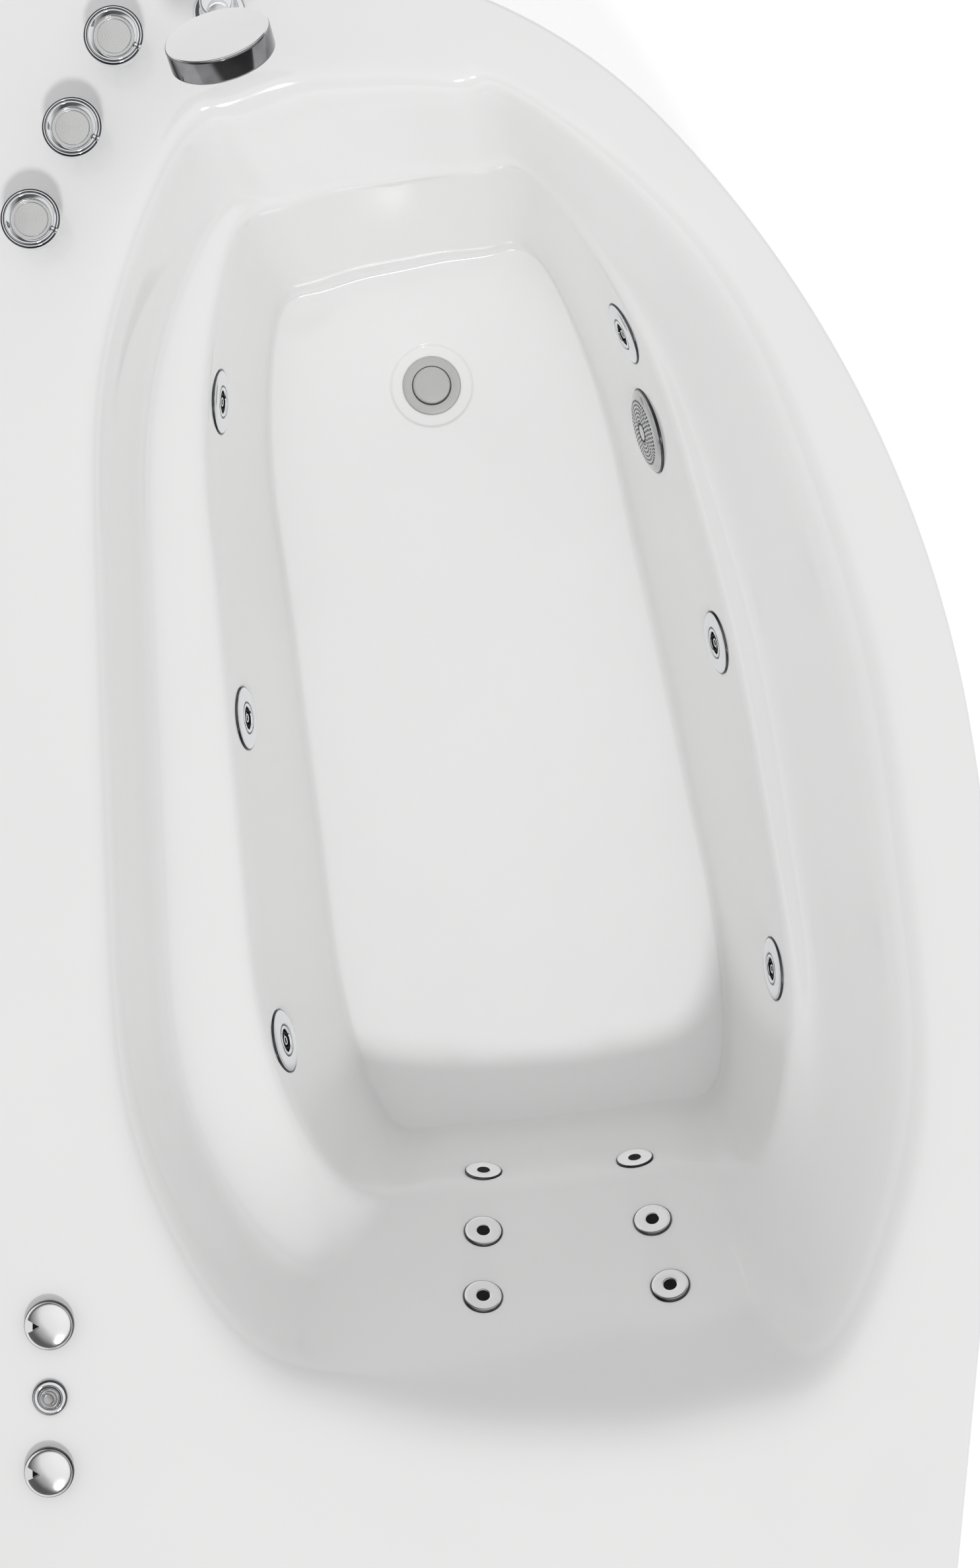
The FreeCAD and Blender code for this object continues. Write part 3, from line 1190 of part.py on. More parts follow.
bracket_runs = {name: outline.run_at(evaluate(along)) for name, along in bar_places.items()}
rail_angle = math.asin(min(1.0, (wall_side - outline.straight - size.rail_wall_side) / size.corner_radius))
bracket_runs["rail"] = outline.straight + size.corner_radius * rail_angle
bracket_gap = size.bracket_width ** 2 / (8 * size.corner_radius) + 0.05
bracket_places = {}
for name, run in bracket_runs.items():
    x, y, heading = outline.place(run)
    px, py = outline.inside(run, size.apron_inset + size.apron_wall + bracket_gap)
    inward = Vector(math.sin(heading), -math.cos(heading), 0)
    bracket_places[name] = FreeCAD.Placement(Vector(px, py, size.frame_top), FreeCAD.Rotation(inward, UP.cross(inward), UP, "ZXY"))
screw_places = {name: place.multiply(at(0, 0, size.screw_level)) for name, place in bracket_places.items()}
apron_top = size.rim_height - size.shell_wall
skirt = band(size.apron_inset, size.apron_wall, size.apron_clearance, apron_top)
foot_flange = band(size.apron_inset, size.apron_flange, size.apron_clearance, size.apron_clearance + size.apron_wall)
within_lip = Part.makeBox(2 * (foot_end - size.apron_inset), 2 * (wall_side - size.apron_inset), size.rim_height,
                          Vector(size.apron_inset - foot_end, size.apron_inset - wall_side, 0))
apron = skirt.fuse(foot_flange).common(within_lip).removeSplitter()
outward = FreeCAD.Placement(Vector(), FreeCAD.Rotation(Vector(0, 1, 0), -90))
screw_holes = [cylinder(size.screw_radius + size.free_gap, -2 * size.apron_wall, 4 * size.apron_wall, p.multiply(outward))
               for p in screw_places.values()]
shaped("front_apron", apron.cut(screw_holes))

brackets, screws = [], []
for name, place in bracket_places.items():
    bracket = new_body(f"apron_bracket_{name}")
    prism(bracket, f"bracket_angle_{name}", [
        ("0", "0"), ("bracket_foot", "0"), ("bracket_foot", "bracket_wall"), ("bracket_wall", "bracket_wall"),
        ("bracket_wall", "bracket_leg"), ("0", "bracket_leg")], "bracket_width", role="XZ_Plane",
        offset="-bracket_width / 2")
    disc(bracket, f"bracket_hole_{name}", ("0", "screw_level"), "screw_radius + free_gap", "bracket_wall + 1",
         role="YZ_Plane", offset="bracket_wall + 0.5", feature="Pocket")
    bracket.Placement = place
    brackets.append(bracket)
    screws.append(turned(f"apron_screw_{name}", [
        ("0", "apron_wall + 0.7 + screw_head_height"), ("screw_head_radius", "apron_wall + 0.7 + screw_head_height"),
        ("screw_head_radius", "apron_wall + 0.7"), ("screw_radius", "apron_wall + 0.7"),
        ("screw_radius", "apron_wall - screw_length"), ("0", "apron_wall - screw_length")],
        screw_places[name].multiply(outward)))
group("apron_brackets", brackets)
group("apron_screws", screws)


# ---------------------------------------------------------------- checks and files

doc.recompute()
os.makedirs("parts", exist_ok=True)
for thing in doc.Objects:
    if "Invalid" in thing.State or "Error" in thing.State:
        raise RuntimeError(f"{thing.Name} did not build: {thing.State}")
for node, thing in parts.items():
    if thing.Shape.isNull() or not thing.Shape.isValid():
        raise RuntimeError(f"{node} has no sound shape")
    thing.Shape.exportStep(f"parts/{node}.step")
    print(f"{node}: {len(thing.Shape.Solids)} solids, {thing.Shape.Volume / 1000:.1f} cm3")
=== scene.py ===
import json
import logging
import math
from dataclasses import dataclass, field, replace
from enum import Enum

import bmesh
import bpy
import numpy as np
from mathutils import Matrix, Vector


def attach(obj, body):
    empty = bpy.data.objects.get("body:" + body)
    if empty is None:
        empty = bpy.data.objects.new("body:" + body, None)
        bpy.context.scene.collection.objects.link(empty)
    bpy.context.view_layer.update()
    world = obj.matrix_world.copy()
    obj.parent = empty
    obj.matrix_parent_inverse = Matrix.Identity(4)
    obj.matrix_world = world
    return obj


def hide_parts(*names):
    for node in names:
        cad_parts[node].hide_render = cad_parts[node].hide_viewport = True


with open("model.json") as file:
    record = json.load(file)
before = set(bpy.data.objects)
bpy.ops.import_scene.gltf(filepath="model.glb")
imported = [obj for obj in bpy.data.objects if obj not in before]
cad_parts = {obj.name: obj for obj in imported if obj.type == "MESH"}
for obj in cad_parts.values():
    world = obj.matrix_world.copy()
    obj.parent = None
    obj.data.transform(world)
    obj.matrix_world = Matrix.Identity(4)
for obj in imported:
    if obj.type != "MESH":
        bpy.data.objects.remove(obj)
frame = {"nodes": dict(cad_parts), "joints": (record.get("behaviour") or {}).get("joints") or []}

LOG = logging.getLogger("bathtub")
MM = 0.001
UP = Vector((0.0, 0.0, 1.0))
LEVELS = (0.3, 0.7)
RELIEF_DEPTH = 0.0002

Colour = tuple[float, float, float]
Corner = tuple[float, float, float]
Solid = tuple[list[Vector], list[tuple[int, ...]]]
Ring = list[bmesh.types.BMVert]
Pair = tuple[float, float]


# ---------------------------------------------------------------- finishes

def wired(tree: bpy.types.NodeTree, *ends: tuple[bpy.types.NodeSocket, bpy.types.NodeSocket]) -> None:
    """Link each pair of sockets of a node tree.

    Args:
        tree: The tree that holds them.
        ends: Pairs of an output and the input that it feeds.
    """
    for source, goal in ends:
        tree.links.new(source, goal)


def added(tree: bpy.types.NodeTree, kind: str, **values: object) -> bpy.types.Node:
    """Add a node and set its inputs.

    Args:
        tree: The tree that gets the node.
        kind: Type of the node.
        values: Values of its inputs, with low lines in the names for spaces.

    Returns:
        The node.
    """
    node = tree.nodes.new(kind)
    for name, value in values.items():
        node.inputs[name.replace("_", " ")].default_value = value
    return node


class Pattern(Enum):
    """How the surface of a finish varies."""

    CLOUD = "soft clouds"
    TURNED = "fine lines turned round an axis"
    CHIPS = "pressed chips"
    SPANGLE = "zinc crystals"


@dataclass(frozen=True)
class Finish:
    """A procedural surface: two colours, a range of roughness and a relief."""

    name: str
    light: Colour
    dark: Colour
    roughness: Pair = (0.2, 0.3)
    metallic: float = 0.0
    scale: float = 30.0
    relief: float = 0.1
    relief_scale: float = 400.0
    coat: float = 0.0
    coat_roughness: float = 0.05
    specular: float = 0.5
    transmission: float = 0.0
    pattern: Pattern = Pattern.CLOUD
    centre: Corner = (0.0, 0.0, 0.0)

    def material(self) -> bpy.types.Material:
        """Find or build the material of this finish.

        Returns:
            The node material.
        """
        known = bpy.data.materials.get(self.name)
        if known:
            return known
        made = bpy.data.materials.new(self.name)
        made.use_nodes = True
        tree = made.node_tree
        shader = tree.nodes["Principled BSDF"]
        for name, value in (("Metallic", self.metallic), ("Coat Weight", self.coat),
                            ("Coat Roughness", self.coat_roughness),
                            ("Specular IOR Level", self.specular),
                            ("Transmission Weight", self.transmission)):
            shader.inputs[name].default_value = value
        place = added(tree, "ShaderNodeTexCoord")
        mapping = added(tree, "ShaderNodeMapping", Location=self.centre)
        mapping.vector_type = "TEXTURE"
        value = self.variation(tree, mapping)
        low, high = LEVELS
        ramp = added(tree, "ShaderNodeValToRGB")
        for stop, level, colour in zip(ramp.color_ramp.elements, LEVELS, (self.dark, self.light)):
            stop.position, stop.color = level, (*colour, 1)
        spread = added(tree, "ShaderNodeMapRange", From_Min=low, From_Max=high, To_Min=self.roughness[0],
                       To_Max=self.roughness[1])
        grain = added(tree, "ShaderNodeTexNoise", Scale=self.relief_scale, Detail=2.0)
        bump = added(tree, "ShaderNodeBump", Strength=self.relief, Distance=RELIEF_DEPTH)
        wired(tree, (place.outputs["Object"], mapping.inputs["Vector"]),
              (value, ramp.inputs["Fac"]), (ramp.outputs["Color"], shader.inputs["Base Color"]),
              (value, spread.inputs["Value"]), (spread.outputs["Result"], shader.inputs["Roughness"]),
              (mapping.outputs["Vector"], grain.inputs["Vector"]),
              (value if self.pattern is Pattern.TURNED else grain.outputs["Fac"], bump.inputs["Height"]),
              (bump.outputs["Normal"], shader.inputs["Normal"]))
        return made

    def variation(self, tree: bpy.types.NodeTree, mapping: bpy.types.Node) -> bpy.types.NodeSocket:
        """Add the texture that drives colour and roughness.

        Args:
            tree: Node tree of the material.
            mapping: The node that gives the place on the piece.

        Returns:
            The socket with the value of the pattern.
        """
        place = mapping.outputs["Vector"]
        if self.pattern is Pattern.TURNED:
            lines = added(tree, "ShaderNodeTexWave", Scale=self.scale, Distortion=1.5, Detail=3.0,
                          Detail_Scale=2.0)
            lines.wave_type = "RINGS"
            lines.rings_direction = "Z"
            wired(tree, (place, lines.inputs["Vector"]))
            return lines.outputs["Fac"]
        if self.pattern in (Pattern.CHIPS, Pattern.SPANGLE):
            cells = added(tree, "ShaderNodeTexVoronoi", Scale=self.scale, Randomness=1.0)
            split = added(tree, "ShaderNodeSeparateColor")
            wired(tree, (place, cells.inputs["Vector"]), (cells.outputs["Color"], split.inputs["Color"]))
            return split.outputs["Red"]
        cloud = added(tree, "ShaderNodeTexNoise", Scale=self.scale, Detail=4.0)
        wired(tree, (place, cloud.inputs["Vector"]))
        return cloud.outputs["Fac"]


ACRYLIC = Finish("acrylic_gloss_white", (0.925, 0.925, 0.922), (0.91, 0.91, 0.907), (0.09, 0.13),
                 scale=6.0,
                 relief=0.02, relief_scale=60.0, coat=0.35, coat_roughness=0.06, specular=0.5)
CHROME = Finish("chrome_polished", (0.87, 0.88, 0.89), (0.82, 0.83, 0.85), (0.035, 0.075), 1.0, 25.0,
                0.03, 900.0)
PEARL = Finish("chrome_satin_bright", (0.93, 0.93, 0.93), (0.88, 0.88, 0.89), (0.14, 0.2), 1.0, 40.0,
               0.05, 1200.0)
SATIN = Finish("metal_satin_turned", (0.72, 0.72, 0.72), (0.58, 0.58, 0.59), (0.26, 0.36), 1.0, 220.0,
               0.35,
               pattern=Pattern.TURNED)
# Painted shade: a near-black finish set in the jet bores, on the nozzle balls, behind the suction holes, at
# its centre and at the bottom of the knob wedges, standing in for the shade in these openings.
PAINTED_SHADE_BLACK = Finish("jet_socket_black", (0.012, 0.012, 0.013), (0.006, 0.006, 0.007), (0.5, 0.6),
                  scale=90.0,
                  specular=0.12)
# Painted shade: near-black chrome rings on rims, grooves and collars stand in for contact shadows, groove
# shade and the dark surroundings that these edges mirror; the cloud pattern paints glints along them.
PAINTED_SHADE_LINE = Finish("chrome_dark_edge", (0.16, 0.16, 0.17), (0.02, 0.02, 0.022), (0.18, 0.3), 1.0, 28.0, 0.03,
              900.0)
# Painted reflection: a dark copy of the chrome for the shower drum's side, standing in for the dark
# surroundings it mirrors; its cloud pattern paints the light patches on it.
DRUM_SIDE_PAINTED_REFLECTION = Finish("chrome_drum_side", (0.34, 0.34, 0.35), (0.07, 0.07, 0.075), (0.06, 0.12), 1.0,
                     16.0, 0.03, 900.0)
# Painted reflection: a duller grey copy of the chrome for the shower drum's back, toned to the grey that
# this face mirrors.
DRUM_BACK_PAINTED_GREY = Finish("chrome_drum_back", (0.66, 0.66, 0.66), (0.62, 0.62, 0.625), (0.16, 0.2), 1.0, 10.0,
                     0.03, 900.0)
SIEVE = Finish("chrome_suction_dome", (0.62, 0.62, 0.63), (0.5, 0.5, 0.51), (0.1, 0.16), 1.0, 25.0, 0.03,
               900.0)
BUTTON = Finish("button_satin_grey", (0.55, 0.55, 0.55), (0.46, 0.46, 0.46), (0.22, 0.3), 1.0, 300.0,
                0.1, 900.0)
RUBBER = Finish("rubber_dark_grey", (0.06, 0.06, 0.065), (0.035, 0.035, 0.04), (0.55, 0.75), scale=120.0,
                relief=0.3, relief_scale=1500.0)
PIPE = Finish("pipe_plastic_white", (0.8, 0.8, 0.77), (0.72, 0.72, 0.69), (0.32, 0.45), scale=14.0,
              relief=0.12, relief_scale=700.0)
HOSE = Finish("hose_plastic_clear", (0.78, 0.81, 0.83), (0.68, 0.72, 0.75), (0.12, 0.22), scale=20.0,
              relief=0.08, relief_scale=500.0, transmission=0.35)
GREY_PLASTIC = Finish("plastic_grey_satin", (0.2, 0.205, 0.21), (0.15, 0.155, 0.16), (0.38, 0.5),
                      scale=40.0,
                      relief=0.25, relief_scale=1800.0)
BLACK_PLASTIC = Finish("plastic_black_satin", (0.035, 0.035, 0.038), (0.02, 0.02, 0.022), (0.35, 0.5),
                       scale=50.0, relief=0.25, relief_scale=1600.0)
ENAMEL = Finish("frame_enamel_grey", (0.42, 0.44, 0.45), (0.35, 0.37, 0.38), (0.3, 0.45), 0.0, 18.0, 0.3,
                500.0,
                coat=0.25, coat_roughness=0.2)
MOTOR = Finish("motor_enamel_blue_grey", (0.12, 0.15, 0.2), (0.085, 0.11, 0.15), (0.28, 0.42), 0.0, 30.0,
               0.35,
               650.0, coat=0.3, coat_roughness=0.15)
ZINC = Finish("steel_zinc_plated", (0.66, 0.67, 0.66), (0.52, 0.53, 0.54), (0.25, 0.42), 1.0, 160.0,
              0.15, 900.0,
              pattern=Pattern.SPANGLE)
BOARD = Finish("board_pressed_chips", (0.5, 0.36, 0.22), (0.33, 0.22, 0.12), (0.45, 0.65), 0.0, 140.0,
               0.6, 260.0,
               coat=0.15, coat_roughness=0.3, pattern=Pattern.CHIPS)
FLOOR = Finish("floor_pale", (0.93, 0.93, 0.93), (0.92, 0.92, 0.92), (0.6, 0.7), scale=3.0, relief=0.02)


# ---------------------------------------------------------------- mesh making

def blend(p: Pair, q: Pair, share: float) -> Pair:
    """The point this share of the way from p to q."""
    return p[0] + (q[0] - p[0]) * share, p[1] + (q[1] - p[1]) * share


def softened(profile: list[Corner], closed: bool, steps: int = 5) -> list[Pair]:
    """Round the corners of a profile.

    Args:
        profile: Corners as radius, height and rounding, in millimetres.
        closed: Whether the last corner joins the first.
        steps: Segments in each rounding.

    Returns:
        The rounded profile as pairs.
    """
    made: list[Pair] = []
    count = len(profile)
    for i, (radius, height, rounding) in enumerate(profile):
        here = (radius, height)
        if rounding <= 0 or (not closed and i in (0, count - 1)):
            made.append(here)
            continue
        before, after = profile[i - 1][:2], profile[(i + 1) % count][:2]
        back, onward = math.dist(before, here), math.dist(here, after)
        start = blend(here, before, min(rounding / back, 0.48))
        end = blend(here, after, min(rounding / onward, 0.48))
        for k in range(steps + 1):
            share = k / steps
            made.append(blend(blend(start, here, share), blend(here, end, share), share))
    return made


def turned(profile: list[Corner], place: Matrix, closed: bool = False, segments: int = 96) -> Solid:
    """Turn a profile about the local Z axis of a place.

    Args:
        profile: Corners as radius, height and rounding, in millimetres. Open ones start and end on
            the axis.
        place: Local frame in metres.
        closed: Whether the profile is a loop that stays off the axis.
        segments: Steps round the axis.

    Returns:
        Points and faces of the closed solid.
    """
    points = softened(profile, closed)
    verts: list[Vector] = []
    rows: list[list[int]] = []
    for radius, height in points:
        if radius < 1e-6:
            rows.append([len(verts)])
            verts.append(place @ Vector((0, 0, height * MM)))
            continue
        rows.append(list(range(len(verts), len(verts) + segments)))
        for k in range(segments):
            angle = 2 * math.pi * k / segments
            spot = Vector((radius * math.cos(angle), radius * math.sin(angle), height))
            verts.append(place @ (spot * MM))
    faces: list[tuple[int, ...]] = []
    pairs = list(zip(rows, rows[1:]))
    if closed:
        pairs.append((rows[-1], rows[0]))
    for low, high in pairs:
        for k in range(segments):
            n = (k + 1) % segments
            if len(low) == 1 and len(high) > 1:
                faces.append((low[0], high[k], high[n]))
            elif len(high) == 1 and len(low) > 1:
                faces.append((low[k], low[n], high[0]))
            elif len(low) > 1:
                faces.append((low[k], low[n], high[n], high[k]))
    return verts, faces


def bar(corners: list[Pair], low: float, high: float, place: Matrix) -> Solid:
    """A straight prism along the local Z axis.

    Args:
        corners: Outline in millimetres.
        low: Start height in millimetres.
        high: End height in millimetres.
        place: Local frame in metres.

    Returns:
        Points and faces of the closed solid.
    """
    count = len(corners)
    verts = [place @ (Vector((x, y, z)) * MM) for z in (low, high) for x, y in corners]
    faces: list[tuple[int, ...]] = [tuple(range(count)), tuple(range(count, 2 * count))]
    faces += [(i, (i + 1) % count, count + (i + 1) % count, count + i) for i in range(count)]
    return verts, faces


def aimed(point: Vector, axis: Vector, along: Vector = Vector((1.0, 0.0, 0.0))) -> Matrix:
    """A frame at a point whose Z follows the axis and whose X stays near another direction.

    Args:
        point: Place in metres.
        axis: Direction of the local Z.
        along: Direction that the local X stays near.

    Returns:
        The local frame.
    """
    z = axis.normalized()
    x = (along - z * along.dot(z)).normalized()
    y = z.cross(x)
    turn = Matrix((x, y, z)).transposed().to_4x4()
    return Matrix.Translation(point) @ turn


def presented(thing: bpy.types.Object, body: str, slot: str, *nodes: str) -> None:
    """Hang a piece on the body that carries it and hide the nodes that it stands for.

    Args:
        thing: The visible piece.
        body: Body that it rides on.
        slot: Material slot of the record; not used.
        nodes: Nodes of the solid model that it replaces.
    """
    for node in nodes:
        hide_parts(node)
    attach(thing, body)


def beside(place: Matrix, reach: float, angle: float, height: float) -> Matrix:
    """A frame moved within another one.

    Args:
        place: The frame to start from, in metres.
        reach: Distance from its axis in millimetres.
        angle: Direction round its axis.
        height: Distance along its axis in millimetres.

    Returns:
        The moved frame.
    """
    shift = Vector((reach * math.cos(angle), reach * math.sin(angle), height)) * MM
    return place @ Matrix.Translation(shift)


class Piece:
    """A mesh gathered from solids, each with its finish, that becomes one object."""

    def __init__(self, name: str) -> None:
        """Start an empty piece.

        Args:
            name: Name of the object.
        """
        self.name = name
        self.mesh = bmesh.new()
        self.finishes: list[Finish] = []

    def add(self, solid: Solid, finish: Finish) -> "Piece":
        """Add a closed solid.

        Args:
            solid: Its points and faces.
            finish: Its finish.

        Returns:
            The same piece.
        """
        if finish not in self.finishes:
            self.finishes.append(finish)
        slot = self.finishes.index(finish)
        verts = [self.mesh.verts.new(point) for point in solid[0]]
        for corners in solid[1]:
            face = self.mesh.faces.new([verts[i] for i in corners])
            face.material_index = slot
            face.smooth = True
        return self

    def turn(self, profile: list[Corner], place: Matrix, finish: Finish, closed: bool = False,
             segments: int = 96) -> "Piece":
        """Add a turned solid.

        Args:
            profile: Corners as radius, height and rounding, in millimetres.
            place: Local frame in metres.
            finish: Its finish.
            closed: Whether the profile is a loop that stays off the axis.
            segments: Steps round the axis.

        Returns:
            The same piece.
        """
        return self.add(turned(profile, place, closed, segments), finish)

    def done(self, angle: float = 35.0, weld: float = 1e-6) -> bpy.types.Object:
        """Weld, orient and shade the mesh, and link its object.

        Args:
            angle: Edges sharper than this many degrees stay crisp.
            weld: Distance in metres within which points become one.

        Returns:
            The object, at the origin.
        """
        bmesh.ops.remove_doubles(self.mesh, verts=self.mesh.verts, dist=weld)
        bmesh.ops.recalc_face_normals(self.mesh, faces=self.mesh.faces)
        data = bpy.data.meshes.new(self.name)
        self.mesh.to_mesh(data)
        self.mesh.free()
        for finish in self.finishes:
            data.materials.append(finish.material())
        data.set_sharp_from_angle(angle=math.radians(angle))
        made = bpy.data.objects.new(self.name, data)
        bpy.context.scene.collection.objects.link(made)
        return made


def settled(thing: bpy.types.Object, angle: float | None = 35.0) -> bpy.types.Object:
    """Turn the evaluated mesh of an object into its plain mesh and drop its modifiers.

    Args:
        thing: Object with modifiers.
        angle: Edges sharper than this stay crisp, or None to leave the shading.

    Returns:
        The same object.
    """
    graph = bpy.context.evaluated_depsgraph_get()
    mesh = bpy.data.meshes.new_from_object(thing.evaluated_get(graph), depsgraph=graph)
    thing.modifiers.clear()
    thing.data = mesh
    if angle is not None:
        mesh.polygons.foreach_set("use_smooth", [True] * len(mesh.polygons))
        mesh.set_sharp_from_angle(angle=math.radians(angle))
    return thing


def carved(thing: bpy.types.Object, tools: list[Solid], angle: float = 35.0) -> bpy.types.Object:
    """Cut closed solids out of an object.

    Args:
        thing: Closed object.
        tools: Solids to take away.
        angle: Edges sharper than this stay crisp.

    Returns:
        The same object with a plain mesh.
    """
    cutter = Piece(f"{thing.name}_cutter")
    for tool in tools:
        cutter.add(tool, ACRYLIC)
    made = cutter.done()
    step = thing.modifiers.new("cut", "BOOLEAN")
    step.operation = "DIFFERENCE"
    step.solver = "MANIFOLD"
    step.object = made
    settled(thing, angle)
    bpy.data.objects.remove(made)
    return thing


# ---------------------------------------------------------------- repeated small pieces

def repeated(name: str, source: bpy.types.Object, places: list[Matrix],
             finish: Finish) -> bpy.types.Object:
    """Set one shape at many places with Geometry Nodes.

    Args:
        name: Name of the result.
        source: Shape at the origin, removed afterwards.
        places: Local frames of the copies.
        finish: Finish of all copies.

    Returns:
        The object with a plain mesh.
    """
    data = bpy.data.meshes.new(name)
    data.from_pydata([place.translation for place in places], [], [])
    turns = data.attributes.new("turn", "FLOAT_VECTOR", "POINT")
    turns.data.foreach_set("vector", [c for place in places for c in place.to_euler()])
    made = bpy.data.objects.new(name, data)
    bpy.context.scene.collection.objects.link(made)
    tree = bpy.data.node_groups.new(f"{name}_tree", "GeometryNodeTree")
    face = tree.interface
    face.new_socket("Geometry", in_out="INPUT", socket_type="NodeSocketGeometry")
    shape = face.new_socket("Shape", in_out="INPUT", socket_type="NodeSocketObject")
    size = face.new_socket("Size", in_out="INPUT", socket_type="NodeSocketFloat")
    coat = face.new_socket("Finish", in_out="INPUT", socket_type="NodeSocketMaterial")
    face.new_socket("Geometry", in_out="OUTPUT", socket_type="NodeSocketGeometry")
    start, end = added(tree, "NodeGroupInput"), added(tree, "NodeGroupOutput")
    points, info = added(tree, "GeometryNodeMeshToPoints"), added(tree, "GeometryNodeObjectInfo")
    turn = added(tree, "GeometryNodeInputNamedAttribute", Name="turn")
    turn.data_type = "FLOAT_VECTOR"
    copies = added(tree, "GeometryNodeInstanceOnPoints")
    whole, dress = added(tree, "GeometryNodeRealizeInstances"), added(tree, "GeometryNodeSetMaterial")
    wired(tree,
          (start.outputs["Geometry"], points.inputs["Mesh"]),
          (start.outputs["Shape"], info.inputs["Object"]),
          (points.outputs["Points"], copies.inputs["Points"]),
          (info.outputs["Geometry"], copies.inputs["Instance"]),
          (turn.outputs["Attribute"], copies.inputs["Rotation"]),
          (start.outputs["Size"], copies.inputs["Scale"]),
          (copies.outputs["Instances"], whole.inputs["Geometry"]),
          (whole.outputs["Geometry"], dress.inputs["Geometry"]),
          (start.outputs["Finish"], dress.inputs["Material"]),
          (dress.outputs["Geometry"], end.inputs["Geometry"]))
    step = made.modifiers.new("copies", "NODES")
    step.node_group = tree
    step[shape.identifier] = source
    step[size.identifier] = 1.0
    step[coat.identifier] = finish.material()
    settled(made)
    bpy.data.objects.remove(source)
    return made


# ---------------------------------------------------------------- outline and basin of the tub

@dataclass(frozen=True)
class TubSizes:
    """Sizes of the moulded tub in millimetres, the same as in the solid model."""

    length: float = 1700
    width: float = 1045
    rim: float = 600
    depth: float = 430
    wall: float = 6
    lip: float = 45
    bends: tuple[Pair, ...] = ((545, 46), (1160, 34), (1950, 15.5))
    deck_wall: float = 63
    deck_head: float = 99
    deck_foot: float = 89
    deck_front: float = 21
    head_corner_wall: float = 650
    head_corner_span: float = 560
    foot_corner_wall: float = 561
    foot_corner_span: float = 70
    front_corner_wall: float = 470
    floor_foot_gap: float = 234
    floor_length: float = 986
    floor_foot_width: float = 373
    floor_head_width: float = 438
    floor_foot_shift: float = 95
    floor_skew: float = 185
    floor_slant: float = 70
    floor_corner: float = 105
    knee: Pair = (285, 300)
    head_knee: Pair = (165, 300)
    corner_blend: float = 0.22
    fillets: tuple[float, ...] = (45, 25, 45, 60)
    edge_rounding: float = 6
    outline_corner: float = 24
    drain: Pair = (488, 62)
    recess: Pair = (49, 2.5)
    drain_hole: float = 24.3


class Outline:
    """Plan of the tub: straight foot end and wall side, and a front of three arcs."""

    def __init__(self, sizes: TubSizes) -> None:
        """Work out the legs of the curved front.

        Args:
            sizes: Sizes of the tub.
        """
        self.sizes = sizes
        heading = sideways = headways = 0.0
        for radius, degrees in sizes.bends:
            turn = math.radians(degrees)
            crest = min(heading + turn, math.pi / 2)
            sideways += radius * (math.sin(crest) - math.sin(heading))
            headways += radius * (math.cos(heading) - math.cos(heading + turn))
            heading += turn
        self.straight = sizes.width - sideways
        self.corner_length = sizes.bends[0][0] * math.radians(sizes.bends[0][1])
        last = (sizes.length - headways) / math.cos(heading - math.pi / 2)
        runs = [(self.straight, 0.0)]
        runs += [(radius * math.radians(degrees), 1 / radius) for radius, degrees in sizes.bends]
        runs.append((last, 0.0))
        place = (sizes.length / 2, sizes.width / 2, -math.pi / 2)
        self.legs: list[tuple[tuple[float, float, float], float, float]] = []
        for run, bend in runs:
            self.legs.append((place, run, bend))
            place = self.step(place, run, bend)
        self.length = sum(leg[1] for leg in self.legs)
        self.end = place

    @staticmethod
    def step(place: Corner, run: float, bend: float) -> Corner:
        """Move along a leg that turns right.

        Args:
            place: Position and heading at the start.
            run: Distance along the leg.
            bend: Curvature.

        Returns:
            Position and heading after the run.
        """
        x, y, a = place
        if bend == 0:
            return x + run * math.cos(a), y + run * math.sin(a), a
        b = a - run * bend
        return x + (math.sin(a) - math.sin(b)) / bend, y - (math.cos(a) - math.cos(b)) / bend, b

    def place(self, run: float) -> Corner:
        """Position and heading at a distance along the outline.

        Args:
            run: The distance from the start of the first leg.

        Returns:
            Position and heading there.
        """
        for start, length, bend in self.legs[:-1]:
            if run <= length:
                return self.step(start, run, bend)
            run -= length
        start, _, bend = self.legs[-1]
        return self.step(start, run, bend)

    def inside(self, run: float, inset: float) -> Pair:
        """The point that lies this far inside the outline."""
        x, y, a = self.place(run)
        return x + inset * math.sin(a), y - inset * math.cos(a)

    def loop(self, count: int = 260) -> list[tuple[Vector, Vector]]:
        """Points round the whole plan with softly rounded corners.

        Args:
            count: Points along the curved front.

        Returns:
            Points and outward directions, in millimetres.
        """
        rounding = self.sizes.outline_corner
        half_length, half_width = self.sizes.length / 2, self.sizes.width / 2
        x, y, a = self.end
        corners = [Vector((-half_length, y)), Vector((-half_length, half_width)),
                   Vector((half_length, half_width))]
        front = []
        reach = self.length - rounding
        for i in range(count + 1):
            run = rounding + (reach - rounding) * i / count
            px, py, pa = self.place(run)
            front.append((Vector((px, py)), Vector((-math.sin(pa), math.cos(pa)))))
        made = list(front)
        ends = [front[-1][0]] + corners + [front[0][0]]
        for i, corner in enumerate(corners, 1):
            back = (ends[i - 1] - corner).normalized()
            ahead = (ends[i + 1] - corner).normalized()
            start, end = corner + back * rounding, corner + ahead * rounding
            into = -(back + ahead).normalized()
            normal_in = Vector((-back.y, back.x))
            normal_out = Vector((ahead.y, -ahead.x))
            if normal_in.dot(into) < 0:
                normal_in, normal_out = -normal_in, -normal_out
            if made and (made[-1][0] - start).length > 60:
                before = made[-1][0]
                for k in range(1, 40):
                    made.append((before.lerp(start, k / 40), normal_in.copy()))
            for k in range(13):
                share = k / 12
                point = start.lerp(corner, share).lerp(corner.lerp(end, share), share)
                made.append((point, normal_in.slerp(normal_out, share)))
        return made


